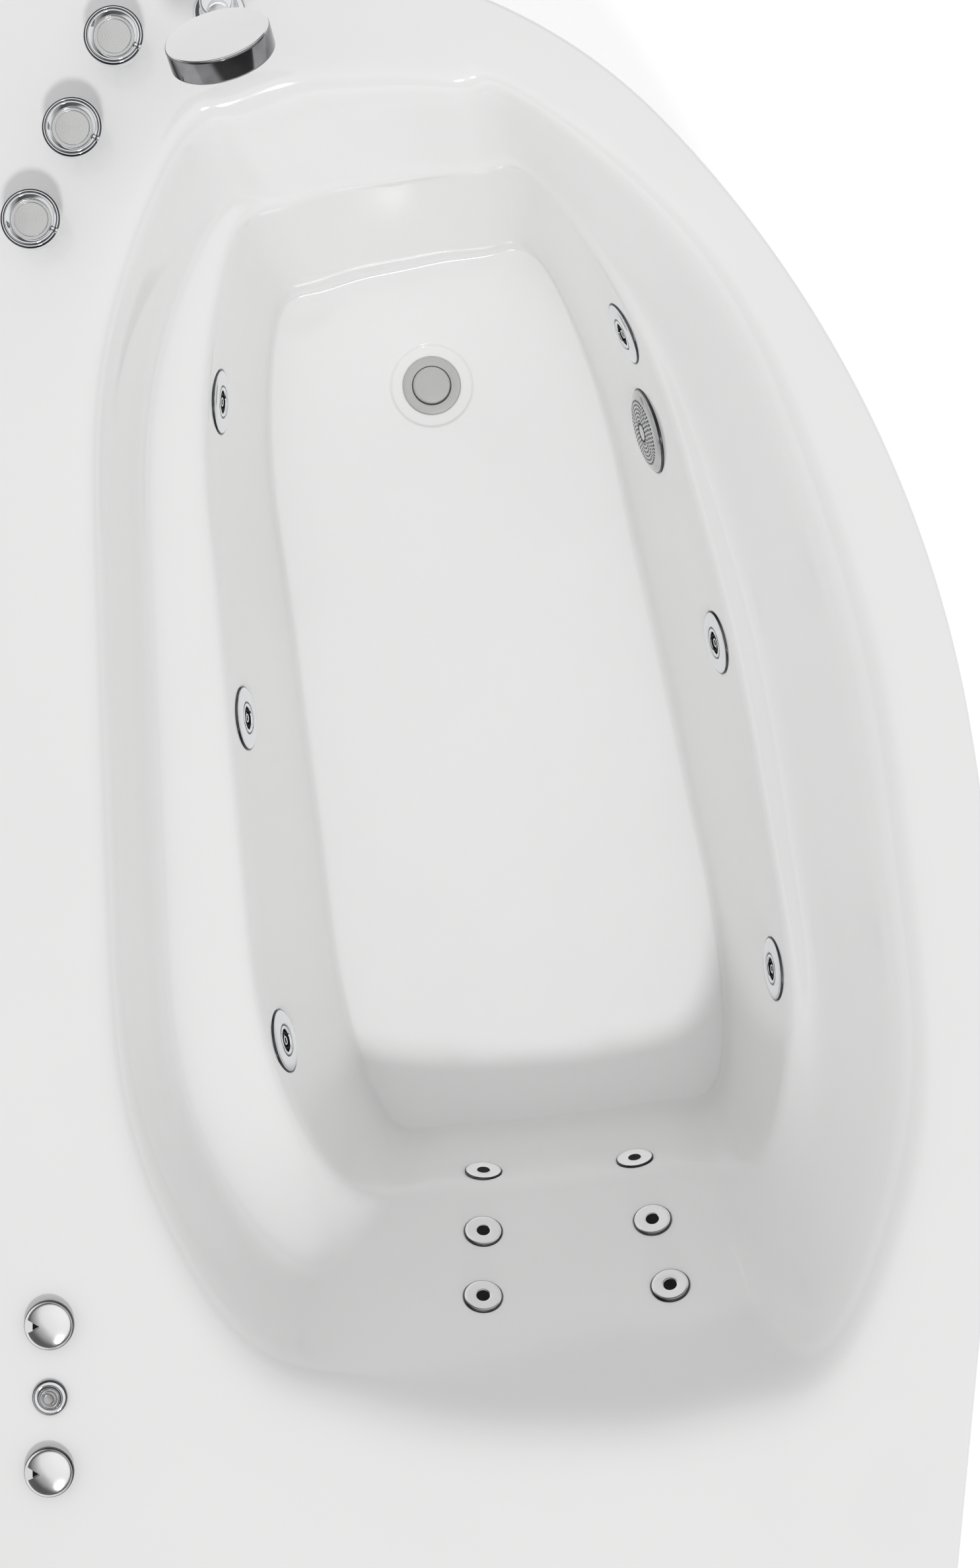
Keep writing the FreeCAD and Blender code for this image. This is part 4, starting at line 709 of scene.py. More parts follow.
class Basin:
    """Rim and floor of the basin, joined by wall profiles."""

    SIDES = ("wall", "foot", "front", "head")
    COLUMNS = 6
    SAMPLES = 60

    def __init__(self, sizes: TubSizes, outline: Outline) -> None:
        """Work out the rim and the floor.

        Args:
            sizes: Sizes of the tub.
            outline: Plan of the tub.
        """
        self.sizes = sizes
        self.outline = outline
        self.rim = self.resample(*self.rim_loop())
        self.floor = self.resample(*self.floor_loop())

    @staticmethod
    def smooth(share: float) -> float:
        """A soft step from 0 to 1."""
        share = min(max(share, 0.0), 1.0)
        return share * share * (3 - 2 * share)

    @staticmethod
    def swing(p: Pair, apex: Pair, q: Pair, share: float) -> Pair:
        """A point on the soft corner between two lines through an apex."""
        return blend(blend(p, apex, share), blend(apex, q, share), share)

    def front_rim(self, run: float) -> Pair:
        """Rim of the basin beside the curved front.

        Args:
            run: Distance along the outline.

        Returns:
            The point of the rim.
        """
        s = self.sizes
        turned_share = self.smooth((run - self.outline.straight) / (self.outline.corner_length * 1.25))
        return self.outline.inside(run, s.deck_foot + (s.deck_front - s.deck_foot) * turned_share)

    def rim_loop(self) -> tuple[list[Pair], tuple[Pair, ...]]:
        """Dense points of the rim and the apexes of its corners.

        Returns:
            The closed loop and its four corners.
        """
        s = self.sizes
        n = self.SAMPLES
        wall, head = s.width / 2 - s.deck_wall, s.deck_head - s.length / 2
        foot_run = self.outline.straight + s.foot_corner_span
        head_run = self.outline.length - s.front_corner_wall
        foot_point, head_point = self.front_rim(foot_run), self.front_rim(head_run)
        foot_turn, head_turn = self.outline.place(foot_run)[2], self.outline.place(head_run)[2]
        foot_reach = (wall - foot_point[1]) / math.sin(foot_turn)
        head_reach = (head - head_point[0]) / math.cos(head_turn)
        foot_apex = (foot_point[0] + foot_reach * math.cos(foot_turn),
                     foot_point[1] + foot_reach * math.sin(foot_turn))
        head_apex = (head_point[0] + head_reach * math.cos(head_turn),
                     head_point[1] + head_reach * math.sin(head_turn))
        corner, middle = (head, wall), (head, wall - s.head_corner_span)
        start, end = (head + s.head_corner_wall - s.deck_head,
                      wall), (foot_point[0] - s.foot_corner_wall, wall)
        loop = [blend(start, end, i / n) for i in range(n)]
        loop += [self.swing(end, foot_apex, foot_point, i / n) for i in range(n)]
        loop += [self.front_rim(foot_run + (head_run - foot_run) * i / (2 * n)) for i in range(2 * n)]
        loop += [self.swing(head_point, head_apex, middle, i / n) for i in range(n)]
        loop += [self.swing(middle, corner, start, i / n) for i in range(n)]
        turn = self.front_rim(self.outline.straight + self.outline.corner_length * 0.62)
        return loop, (corner, foot_apex, turn, head_apex)

    def floor_loop(self) -> tuple[list[Pair], tuple[Pair, ...]]:
        """Dense points of the flat floor and its corners.

        Returns:
            The closed loop and its four corners.
        """
        s = self.sizes
        foot = s.length / 2 - s.floor_foot_gap
        head, middle, lean = foot - s.floor_length, s.floor_foot_shift, s.floor_slant / 2
        corners = ((head - lean * 0.8, middle - s.floor_skew + s.floor_head_width / 2),
                   (foot - lean * 1.2, middle + s.floor_foot_width / 2 - 13),
                   (foot + lean * 1.2, middle - s.floor_foot_width / 2),
                   (head + lean * 0.8, middle - s.floor_skew - s.floor_head_width / 2))
        loop: list[Pair] = []
        for i, corner in enumerate(corners):
            before, after = Vector(corners[i - 1]), Vector(corners[(i + 1) % 4])
            here = Vector(corner)
            start = here + (before - here).normalized() * s.floor_corner
            end = here + (after - here).normalized() * s.floor_corner
            stop = after + (here - after).normalized() * s.floor_corner
            loop += [self.swing(tuple(start), corner, tuple(end),
                                k / self.SAMPLES) for k in range(self.SAMPLES)]
            loop += [blend(tuple(end), tuple(stop), k / self.SAMPLES) for k in range(self.SAMPLES)]
        return loop, corners

    def resample(self, loop: list[Pair], corners: tuple[Pair, ...]) -> list[Pair]:
        """Equal steps along each of the four sides.

        Args:
            loop: Dense closed loop.
            corners: The four corners.

        Returns:
            The picked points, one for each column.
        """
        marks = [min(range(len(loop)), key=lambda i: math.dist(loop[i], corner)) for corner in corners]
        picked = []
        for side in range(4):
            start, end = marks[side], marks[(side + 1) % 4]
            if end <= start:
                end += len(loop)
            chain = np.array([loop[i % len(loop)] for i in range(start, end + 1)])
            reach = np.concatenate([[0], np.cumsum(np.linalg.norm(np.diff(chain, axis=0), axis=1))])
            for step in range(self.COLUMNS):
                goal = reach[-1] * step / self.COLUMNS
                picked.append((float(np.interp(goal, reach, chain[:, 0])),
                               float(np.interp(goal, reach, chain[:, 1]))))
        return picked

    def profile_of(self, side: str) -> tuple[Pair, ...]:
        """Apexes of the wall profile on one side: share of the way out, and height.

        Args:
            side: Name of the side.

        Returns:
            Pairs of share and height.
        """
        s = self.sizes
        low, high = s.head_knee if side == "head" else s.knee
        shares = {"wall": (0.062, 0.272, 0.584, 0.70), "foot": (0.10, 0.274, 0.34, 0.69),
                  "front": (0.058, 0.267, 0.38, 0.73), "head": (0.041, 0.164, 0.45, 0.74)}[side]
        return tuple(zip(shares, (0.0, low, high, s.depth)))

    def apexes(self, column: int) -> list[Pair]:
        """Wall profile of a column, blended with the next side towards the corners.

        Args:
            column: Number of the column.

        Returns:
            Pairs of distance outwards and height, from floor to rim.
        """
        side, step = divmod(column, self.COLUMNS)
        share = step / self.COLUMNS
        other = self.SIDES[side - 1] if share < 0.5 else self.SIDES[(side + 1) % 4]
        weight = 0.5 + 0.5 * self.smooth(min(share, 1 - share) / self.sizes.corner_blend)
        run = math.dist(self.floor[column], self.rim[column])
        points = [(0.0, 0.0)]
        for p, q in zip(self.profile_of(self.SIDES[side]), self.profile_of(other)):
            out, height = blend(q, p, weight)
            points.append((out * run, height))
        return points + [(run, self.sizes.depth)]

    @staticmethod
    def thickened(points: list[Pair], wall: float) -> list[Pair]:
        """The profile moved outwards by the wall thickness.

        Args:
            points: The profile of the wet side.
            wall: Thickness of the wall.

        Returns:
            The profile of the dry side.
        """
        lines = []
        for p, q in zip(points, points[1:]):
            u = (Vector(q) - Vector(p)).normalized()
            lines.append((Vector(p) + Vector((u.y, -u.x)) * wall, u))
        moved = [tuple(lines[0][0])]
        for (p, u), (q, v) in zip(lines, lines[1:]):
            cross = u.x * v.y - u.y * v.x
            if abs(cross) < 1e-6:
                moved.append(tuple(q))
                continue
            reach = ((q.x - p.x) * v.y - (q.y - p.y) * v.x) / cross
            moved.append(tuple(p + u * reach))
        return moved + [(points[-1][0], points[-1][1] - wall)]

    def poles(self, points: list[Pair]) -> list[Pair]:
        """Poles that keep each apex rounded within its fillet.

        Args:
            points: Corners of the profile.

        Returns:
            Poles of its curve.
        """
        made = [points[0]]
        for i, fillet in enumerate(self.sizes.fillets, 1):
            for beside in (points[i - 1], None, points[i + 1]):
                if beside is None:
                    made.append(points[i])
                    continue
                reach = math.dist(points[i], beside)
                made.append(blend(points[i], beside, min(fillet / reach, 0.45)))
        return made + [points[-1]]

    def grid(self, wall: float, per_span: int, per_column: int) -> np.ndarray:
        """Points of one skin.

        Args:
            wall: Distance behind the wet surface.
            per_span: Rows in each span of the profile.
            per_column: Points between two columns.

        Returns:
            An array of rows, columns and coordinates in millimetres.
        """
        base = self.sizes.rim - self.sizes.depth
        controls = []
        for column, (foot, head) in enumerate(zip(self.floor, self.rim)):
            points = self.apexes(column)
            if wall:
                points = self.thickened(points, wall)
            u = (Vector(head) - Vector(foot)).normalized()
            controls.append([(foot[0] + u.x * out, foot[1] + u.y * out, base + up) for out,
                             up in self.poles(points)])
        poles = np.array(controls)
        spans = poles.shape[1] - 3
        knots = np.concatenate([[0] * 3, np.arange(spans + 1), [spans] * 3]).astype(float)
        rows = []
        for t in np.linspace(0, spans, spans * per_span + 1):
            rows.append(self.curve_value(poles, knots, float(min(t, spans - 1e-9))))
        return self.rounded_columns(np.array(rows), per_column)

    @staticmethod
    def curve_value(poles: np.ndarray, knots: np.ndarray, t: float) -> np.ndarray:
        """Value of the cubic curves of all columns at one parameter.

        Args:
            poles: Poles of all columns.
            knots: Knots of the curves.
            t: The parameter.

        Returns:
            One point for each column.
        """
        k = int(np.searchsorted(knots, t, side="right")) - 1
        points = [poles[:, k - 3 + j].copy() for j in range(4)]
        for r in range(1, 4):
            for j in range(3, r - 1, -1):
                low = knots[k - 3 + j]
                share = (t - low) / (knots[k + 1 + j - r] - low)
                points[j] = points[j - 1] * (1 - share) + points[j] * share
        return points[3]

    @staticmethod
    def rounded_columns(rows: np.ndarray, per_column: int) -> np.ndarray:
        """Closed smooth curves through the columns of every row.

        Args:
            rows: Points by row and column.
            per_column: Points between two columns.

        Returns:
            Points by row, finer round the basin.
        """
        count = rows.shape[1]
        matrix = 4 * np.eye(count) + np.roll(np.eye(count), 1, 1) + np.roll(np.eye(count), -1, 1)
        bends = 6 * (np.roll(rows, -1, 1) - 2 * rows + np.roll(rows, 1, 1))
        second = np.einsum("ij,rjc->ric", np.linalg.inv(matrix), bends)
        ahead, ahead_second = np.roll(rows, -1, 1), np.roll(second, -1, 1)
        made = []
        for k in range(per_column):
            u = k / per_column
            v = 1 - u
            made.append(v * rows + u * ahead + ((v ** 3 - v) * second + (u ** 3 - u) * ahead_second) / 6)
        return np.stack(made, 2).reshape(rows.shape[0], -1, 3)


@dataclass
class TubShell:
    """The moulded white tub: wet skin, deck, lip, dry skin and drain recess."""

    sizes: TubSizes = field(default_factory=TubSizes)
    per_column: int = 15
    wet_rows: int = 6
    dry_rows: int = 3
    round_steps: int = 96
    crease: float = 40.0

    def build(self, seats: "Seats") -> bpy.types.Object:
        """Build the tub with its holes.

        Args:
            seats: Places of the jets and of the suction.

        Returns:
            The object.
        """
        outline = Outline(self.sizes)
        basin = Basin(self.sizes, outline)
        piece = Piece("tub_moulding")
        mesh = piece.mesh
        piece.finishes.append(ACRYLIC)
        wet = basin.grid(0, self.wet_rows, self.per_column)
        dry = basin.grid(self.sizes.wall, self.dry_rows, self.per_column)
        wet_rings = self.rings(mesh, wet)
        dry_rings = self.rings(mesh, dry)
        edge_rings = self.edge(mesh, outline)
        self.fill(mesh, wet_rings[-1], edge_rings[0])
        self.zipped(mesh, edge_rings[-1], dry_rings[-1])
        drain_rings = self.drain(mesh)
        self.fill(mesh, wet_rings[0], drain_rings[0])
        self.fill(mesh, dry_rings[0], drain_rings[-1])
        for face in mesh.faces:
            face.smooth = True
        shell = piece.done(angle=self.crease)
        carved(shell, seats.holes(), angle=self.crease)
        presented(shell, "tub", "acrylic_white", "tub_shell")
        return shell

    @staticmethod
    def joined(mesh: bmesh.types.BMesh, rings: list[Ring]) -> list[Ring]:
        """Join rings of equal counts with faces.

        Args:
            mesh: Mesh to add to.
            rings: The rings in order.

        Returns:
            The same rings.
        """
        count = len(rings[0])
        for low, high in zip(rings, rings[1:]):
            for k in range(count):
                n = (k + 1) % count
                mesh.faces.new((low[k], low[n], high[n], high[k]))
        return rings

    def rings(self, mesh: bmesh.types.BMesh, grid: np.ndarray) -> list[Ring]:
        """Add the rows of a skin as joined rings.

        Args:
            mesh: Mesh to add to.
            grid: Rows of points in millimetres.

        Returns:
            The rings of points.
        """
        rings = [[mesh.verts.new(point * MM) for point in row] for row in grid]
        return self.joined(mesh, rings)

    def edge(self, mesh: bmesh.types.BMesh, outline: Outline) -> list[Ring]:
        """Add the rounded edge, the lip and its inner face.

        Args:
            mesh: Mesh to add to.
            outline: Plan of the tub.

        Returns:
            The rings from the deck to the underside.
        """
        s = self.sizes
        r = s.edge_rounding
        profile = [(r * (1 - math.sin(math.pi * k / 14)), s.rim - r * (1 - math.cos(math.pi * k / 14)))
                   for k in range(8)]
        profile += [(0, s.rim - s.lip * 0.6), (0, s.rim - s.lip + 2), (0.6, s.rim - s.lip + 0.6),
                    (2, s.rim - s.lip), (4, s.rim - s.lip), (5.4, s.rim - s.lip + 0.6),
                    (6, s.rim - s.lip + 2), (6, s.rim - s.wall)]
        rings = []
        for inset, height in profile:
            rings.append([mesh.verts.new(Vector((*(p - n * inset), height)) * MM) for p,
                          n in outline.loop()])
        return self.joined(mesh, rings)

    def drain(self, mesh: bmesh.types.BMesh) -> list[Ring]:
        """Add the drain recess and its hole.

        Args:
            mesh: Mesh to add to.

        Returns:
            The rings from the floor to the underside.
        """
        s = self.sizes
        radius, drop = s.recess
        floor = s.rim - s.depth
        profile = [(radius + 3, floor), (radius + 1.2, floor - 0.3), (radius, floor - 1),
                   (radius - 1, floor - drop + 0.4), (radius - 2.6, floor - drop),
                   (s.drain_hole, floor - drop), (s.drain_hole, floor - s.wall)]
        rings = []
        for r, height in profile:
            rings.append([mesh.verts.new(Vector((s.drain[0] + r * math.cos(a),
                                                 s.drain[1] + r * math.sin(a), height)) * MM)
                          for a in (2 * math.pi * k / self.round_steps for k in range(self.round_steps))])
        return self.joined(mesh, rings)

    @staticmethod
    def zipped(mesh: bmesh.types.BMesh, outer: Ring,
               inner: Ring) -> None:
        """Join two closed loops round the upright axis with a strip of triangles.

        Args:
            mesh: Mesh to add to.
            outer: One loop.
            inner: The loop inside it.
        """
        tracks = []
        for loop in (outer, inner):
            turns = sorted((math.atan2(point.co.y, point.co.x), k) for k, point in enumerate(loop))
            track = [(angle, loop[k]) for angle, k in turns]
            tracks.append(track + [(track[0][0] + 2 * math.pi, track[0][1])])
        far, near = tracks
        i = j = 0
        while i < len(far) - 1 or j < len(near) - 1:
            if j == len(near) - 1 or (i < len(far) - 1 and far[i + 1][0] < near[j + 1][0]):
                mesh.faces.new((far[i][1], far[i + 1][1], near[j][1]))
                i += 1
            else:
                mesh.faces.new((far[i][1], near[j + 1][1], near[j][1]))
                j += 1

    @staticmethod
    def fill(mesh: bmesh.types.BMesh, outer: Ring,
             inner: Ring) -> None:
        """Fill the flat ring between two closed loops.

        Args:
            mesh: Mesh to add to.
            outer: One loop.
            inner: The other loop.
        """
        edges = []
        for loop in (outer, inner):
            for k, point in enumerate(loop):
                other = loop[(k + 1) % len(loop)]
                edges.append(mesh.edges.get((point, other)) or mesh.edges.new((point, other)))
        bmesh.ops.triangle_fill(mesh, use_beauty=True, use_dissolve=False, edges=edges)


@dataclass
class Seats:
    """Places of everything that is let into the basin wall, read from the solid model."""

    side: list[Matrix] = field(default_factory=list)
    back: list[Matrix] = field(default_factory=list)
    suction: Matrix = field(default_factory=Matrix)
    ring_thickness: float = 4.5
    back_thickness: float = 3.5
    cover_rise: float = 9.0
    side_radius: float = 0.03
    hole_reach: Pair = (-14, 9)
    hole_sizes: tuple[Pair, ...] = ((21.3, 36), (9.3, 22), (24.3, 49))

    def read(self) -> "Seats":
        """Find the seats from the covers of the frame.

        Returns:
            The same object, filled.
        """
        for points in self.loose_parts("jet_covers"):
            place, top, radius = self.axis_of(points)
            if radius > self.side_radius:
                self.side.append(self.seat(place, top - self.ring_thickness * MM))
            else:
                self.back.append(self.seat(place, top - self.back_thickness * MM))
        place, top, _ = self.axis_of(self.loose_parts("suction_cover")[0])
        self.suction = self.seat(place, top - self.cover_rise * MM)
        return self

    @staticmethod
    def loose_parts(node: str) -> list[np.ndarray]:
        """Points of each separate solid of a node.

        Args:
            node: Name of the node.

        Returns:
            One array of points for each solid.
        """
        mesh = bmesh.new()
        mesh.from_mesh(frame["nodes"][node].data)
        bmesh.ops.remove_doubles(mesh, verts=mesh.verts, dist=2e-6)
        left = dict.fromkeys(mesh.verts)
        parts = []
        while left:
            start = next(iter(left))
            del left[start]
            found, queue = [start], [start]
            while queue:
                for edge in queue.pop().link_edges:
                    for vert in edge.verts:
                        if vert in left:
                            del left[vert]
                            found.append(vert)
                            queue.append(vert)
            parts.append(np.array([vert.co for vert in found]))
        mesh.free()
        return parts

    @staticmethod
    def axis_of(points: np.ndarray) -> tuple[tuple[Vector, Vector], float, float]:
        """Axis of a turned solid.

        Args:
            points: Its points.

        Returns:
            A point on the axis with the direction into the basin, the highest place along it and
            the radius.
        """
        middle = points.mean(0)
        _, vectors = np.linalg.eigh(np.cov((points - middle).T))
        axis = Vector(vectors[:, 0])
        inward = Vector((0.0, 0.0, 0.5)) - Vector(middle)
        if axis.dot(inward) < 0:
            axis = -axis
        heights = (points - middle) @ np.array(axis)
        radii = np.linalg.norm((points - middle) - np.outer(heights, np.array(axis)), axis=1)
        return (Vector(middle), axis), float(heights.max()), float(radii.max())

    @staticmethod
    def seat(place: tuple[Vector, Vector], height: float) -> Matrix:
        """Frame on the seat, with its X level along the wall."""
        point, axis = place
        return aimed(point + axis * height, axis, UP.cross(axis))

    def holes(self) -> list[Solid]:
        """Cutters for the holes and flat seats of the wall.

        Returns:
            The cutting solids.
        """
        tools = []
        low, high = self.hole_reach
        for places, (bore, cover) in zip((self.side, self.back, [self.suction]), self.hole_sizes):
            for place in places:
                tools.append(turned([(0, low, 0), (bore, low, 0), (bore, 0, 0), (cover, 0, 0),
                                     (cover, high, 0), (0, high, 0)], place, segments=72))
        return tools


# ---------------------------------------------------------------- jets, suction and waste

@dataclass
class Jets:
    """Rings, nozzles and covers of the water jets."""

    seats: Seats
    ring: float = 35.0
    bore: float = 12.4
    cover: float = 21.0

    def build(self) -> None:
        """Build all rings, nozzles and covers."""
        origin = Matrix.Identity(4)
        ring = Piece("ring_shape").turn([
            (self.bore, -20, 0), (18, -20, 0), (18, -0.2, 0), (self.ring - 2, -0.2, 0),
            (self.ring - 0.2, 0, 0.5), (self.ring, 1.6, 1.0), (self.ring - 2.4, 3.4, 2.0),
            (self.ring - 8, 4.2, 2.0), (19.0, 4.5, 1.2), (17.6, 3.2, 0.8), (16.4, 3.2, 0.8),
            (15.4, 4.5, 0.8), (13.4, 4.4, 0.8), (self.bore, 3.0, 0.6)], origin, CHROME,
            closed=True).done()
        rings = repeated("side_jet_rings", ring, self.seats.side, CHROME)
        cover = Piece("cover_shape").turn([
            (5.9, -10, 0), (9, -10, 0), (9, -0.2, 0), (self.cover - 1, -0.2, 0), (self.cover, 0.2, 0.4),
            (self.cover, 2.2, 0.5), (self.cover - 1.0, 3.2, 0.5), (self.cover - 3, 3.5, 0.8),
            (8.4, 3.3, 0.8), (7.0, 3.0, 0.6), (5.9, 1.8, 0.6)], origin, PEARL, closed=True).done()
        covers = repeated("back_jet_covers", cover, self.seats.back, PEARL)
        # Painted shade: a black plug in each back cover's bore stands in for the shade inside the hole.
        bore_shade = Piece("core_shape").turn([
            (0, -9.8, 0), (5.8, -9.8, 0), (5.8, 1.9, 0), (7.3, 3.25, 0.3), (0, 2.6, 0)], origin, PAINTED_SHADE_BLACK,
            segments=32).done()
        bore_shades = repeated("back_jet_cores", bore_shade, self.seats.back, PAINTED_SHADE_BLACK)
        # Painted shade: a dark ring round the outer rim of every jet ring and back cover stands in for the
        # contact shadow and dark reflection at that edge, and a dark ring in the jet ring's groove for the
        # shade in the groove.
        edges = []
        for name, places, reach, high, groove in (
                ("side_jet_edges", self.seats.side, self.ring, 1.7, 17.0),
                ("back_jet_edges", self.seats.back, self.cover, 2.3, 0.0)):
            shade_band = Piece(f"{name}_shape").turn([
                (reach - 1.3, -0.15, 0), (reach + 0.12, -0.15, 0), (reach + 0.12, high, 0.3),
                (reach - 1.0, high + 0.9, 0.2), (reach - 1.3, high + 0.9, 0)], origin, PAINTED_SHADE_LINE, closed=True)
            if groove:
                shade_band.turn([(groove - 1.0, 2.9, 0), (groove + 1.0, 2.9, 0), (groove + 1.0, 3.7, 0),
                           (groove - 1.0, 3.7, 0)], origin, PAINTED_SHADE_LINE, closed=True)
            edges.append(repeated(name, shade_band.done(), places, PAINTED_SHADE_LINE))
        for piece in (rings, covers):
            presented(piece, "tub", "chrome", "jet_covers")
        for piece in (bore_shades, *edges):
            presented(piece, "tub", "chrome")
        LOG.info("rings %d, covers %d", len(self.seats.side), len(self.seats.back))
        for joint in frame["joints"]:
            if joint["name"].startswith("nozzle_"):
                self.nozzle(joint["child"], Vector(joint["pos_m"]))

    def nozzle(self, body: str, centre: Vector) -> None:
        """Build one turning nozzle.

        Args:
            body: Name of its body.
            centre: Middle of the ball.
        """
        seat = min(self.seats.side, key=lambda place: (place.translation - centre).length)
        axis = seat.col[2].to_3d()
        place = aimed(centre, axis, seat.col[0].to_3d())
        ball = [(0.0, -8.0, 0.0)]
        ball += [(12.1 * math.sin(a), -12.1 * math.cos(a), 0.0) for a in
                 (math.radians(d) for d in range(45, 126, 9))]
        ball += [(9.2, 7.0, 0.5), (7.6, 7.6, 0.4), (7.2, 3.0, 0.3), (0.0, 2.4, 0.0)]
        body_piece = Piece(f"nozzle_{body}")
        # Painted shade: the ball takes the near-black finish, standing in for the shade in the jet's throat
        # round the bright centre ring.
        body_piece.turn(ball, place, PAINTED_SHADE_BLACK, segments=72)
        body_piece.turn([(3.4, 2.2, 0), (5.0, 2.2, 0), (5.0, 6.9, 0.5), (3.4, 6.9, 0.5)], place, PEARL,
                        closed=True, segments=48)
        for k in range(3):
            turn = place @ Matrix.Rotation(2 * math.pi * k / 3, 4, "Z")
            body_piece.add(bar([(4.4, -0.7), (7.5, -0.7), (7.5, 0.7), (4.4, 0.7)], 2.4, 6.2, turn),
                           CHROME)
        presented(body_piece.done(), body, "chrome", f"side_jet_{body}")


@dataclass
class Suction:
    """Perforated cover of the suction."""

    seat: Matrix
    radius: float = 48.0
    rise: float = 9.0
    hole: float = 1.6
    hole_rings: tuple[float, ...] = (13.5, 18.0, 22.5, 27.0, 31.5, 36.0)
    hole_step: float = 4.6

    def build(self) -> None:
        """Build the domed cover with its perforations and centre screw."""
        dome = Piece("suction_dome").turn([
            (0, self.rise - 3, 0), (self.radius - 10, self.rise - 3.6, 0), (self.radius - 9, 0, 0),
            (self.radius - 1, 0, 0), (self.radius, 0.6, 0.5), (self.radius, 2.4, 1.0),
            (self.radius - 4, 5.6, 3.0), (self.radius - 12, 8.0, 4.0), (20, self.rise - 0.1, 6.0),
            (0, self.rise, 0)], self.seat, SIEVE).done()
        holes = []
        for ring, reach in enumerate(self.hole_rings):
            count = int(2 * math.pi * reach / self.hole_step)
            for k in range(count):
                angle = 2 * math.pi * (k + 0.5 * (ring % 2)) / count
                spot = beside(self.seat, reach, angle, 0)
                holes.append(turned([(0, 3, 0), (self.hole, 3, 0), (self.hole, 11, 0), (0, 11, 0)], spot,
                                    segments=8))
        carved(dome, holes)
        presented(dome, "tub", "chrome", "suction_cover")
        # Painted shade: a black disc under the dome shows through the holes as the shade behind them, the
        # black screw head and the black ring round it stand in for the shade at the centre, and a dark ring
        # on the outer rim for the contact shadow at that edge.
        shade_band = Piece("suction_back").turn([
            (0, 1.5, 0), (self.radius - 9.4, 1.5, 0), (self.radius - 9.4, 3.5, 0), (0, 3.5, 0)],
            self.seat, PAINTED_SHADE_BLACK)
        shade_band.turn([(0, self.rise - 0.6, 0), (8.6, self.rise - 0.6, 0), (8.4, self.rise - 0.15, 0.3),
                   (5, self.rise - 0.05, 0.5), (0, self.rise - 1.6, 0)], self.seat, PAINTED_SHADE_BLACK, segments=48)
        shade_band.turn([(self.radius - 1.2, 0.2, 0), (self.radius + 0.12, 0.2, 0),
                   (self.radius + 0.12, 2.3, 0.3), (self.radius - 1.2, 3.4, 0)], self.seat, PAINTED_SHADE_LINE,
                  closed=True)
        shade_band.turn([(9.0, self.rise - 1, 0), (11.4, self.rise - 1, 0), (11.4, self.rise + 0.06, 0),
                   (9.0, self.rise + 0.06, 0)], self.seat, PAINTED_SHADE_BLACK, closed=True, segments=48)
        presented(shade_band.done(), "tub", "chrome")


@dataclass
class Waste:
    """Drain flange and its stopper."""

    centre: Corner = (488.0, 62.0, 167.5)
    flange: float = 35.0
    stopper: float = 22.0

    def build(self) -> None:
        """Build the flange ring, its tail with the bridge and the stopper."""
        place = Matrix.Translation(Vector(self.centre) * MM)
        satin = replace(SATIN, name="drain_satin_turned", centre=tuple(Vector(self.centre) * MM),
                        light=(0.68, 0.68, 0.67),
                        dark=(0.58, 0.58, 0.57), roughness=(0.4, 0.5))
        flange = Piece("drain_ring").turn([
            (20.5, -60, 0), (24, -60, 0), (24, 0, 0), (self.flange, 0, 0), (self.flange, 1.3, 0.5),
            (self.flange - 1.6, 2.3, 0.8), (self.flange - 5, 2.5, 1.0), (23.6, 2.4, 0.4),
            (22.8, 1.7, 0.3), (20.5, 0.8, 0.8)], place, satin, closed=True)
        flange.add(bar([(-20.9, -5), (20.9, -5), (20.9, 5), (-20.9, 5)], -23.5, -18.5, place), satin)
        presented(flange.done(), "tub", "chrome", "drain_flange")
        plug = Piece("stopper_cap").turn([
            (0, -34, 0), (4, -34, 0.5), (4, 2.2, 0), (18, 2.8, 0), (self.stopper - 0.4, 2.9, 0.3),
            (self.stopper, 3.6, 0.4), (self.stopper, 5.4, 0.6), (self.stopper - 0.9, 6.4, 0.5),
            (self.stopper - 2.5, 6.7, 0.8), (8, 6.8, 2), (0, 6.8, 0)], place, satin).done()
        presented(plug, "stopper", "chrome", "drain_stopper")


# ---------------------------------------------------------------- deck fittings

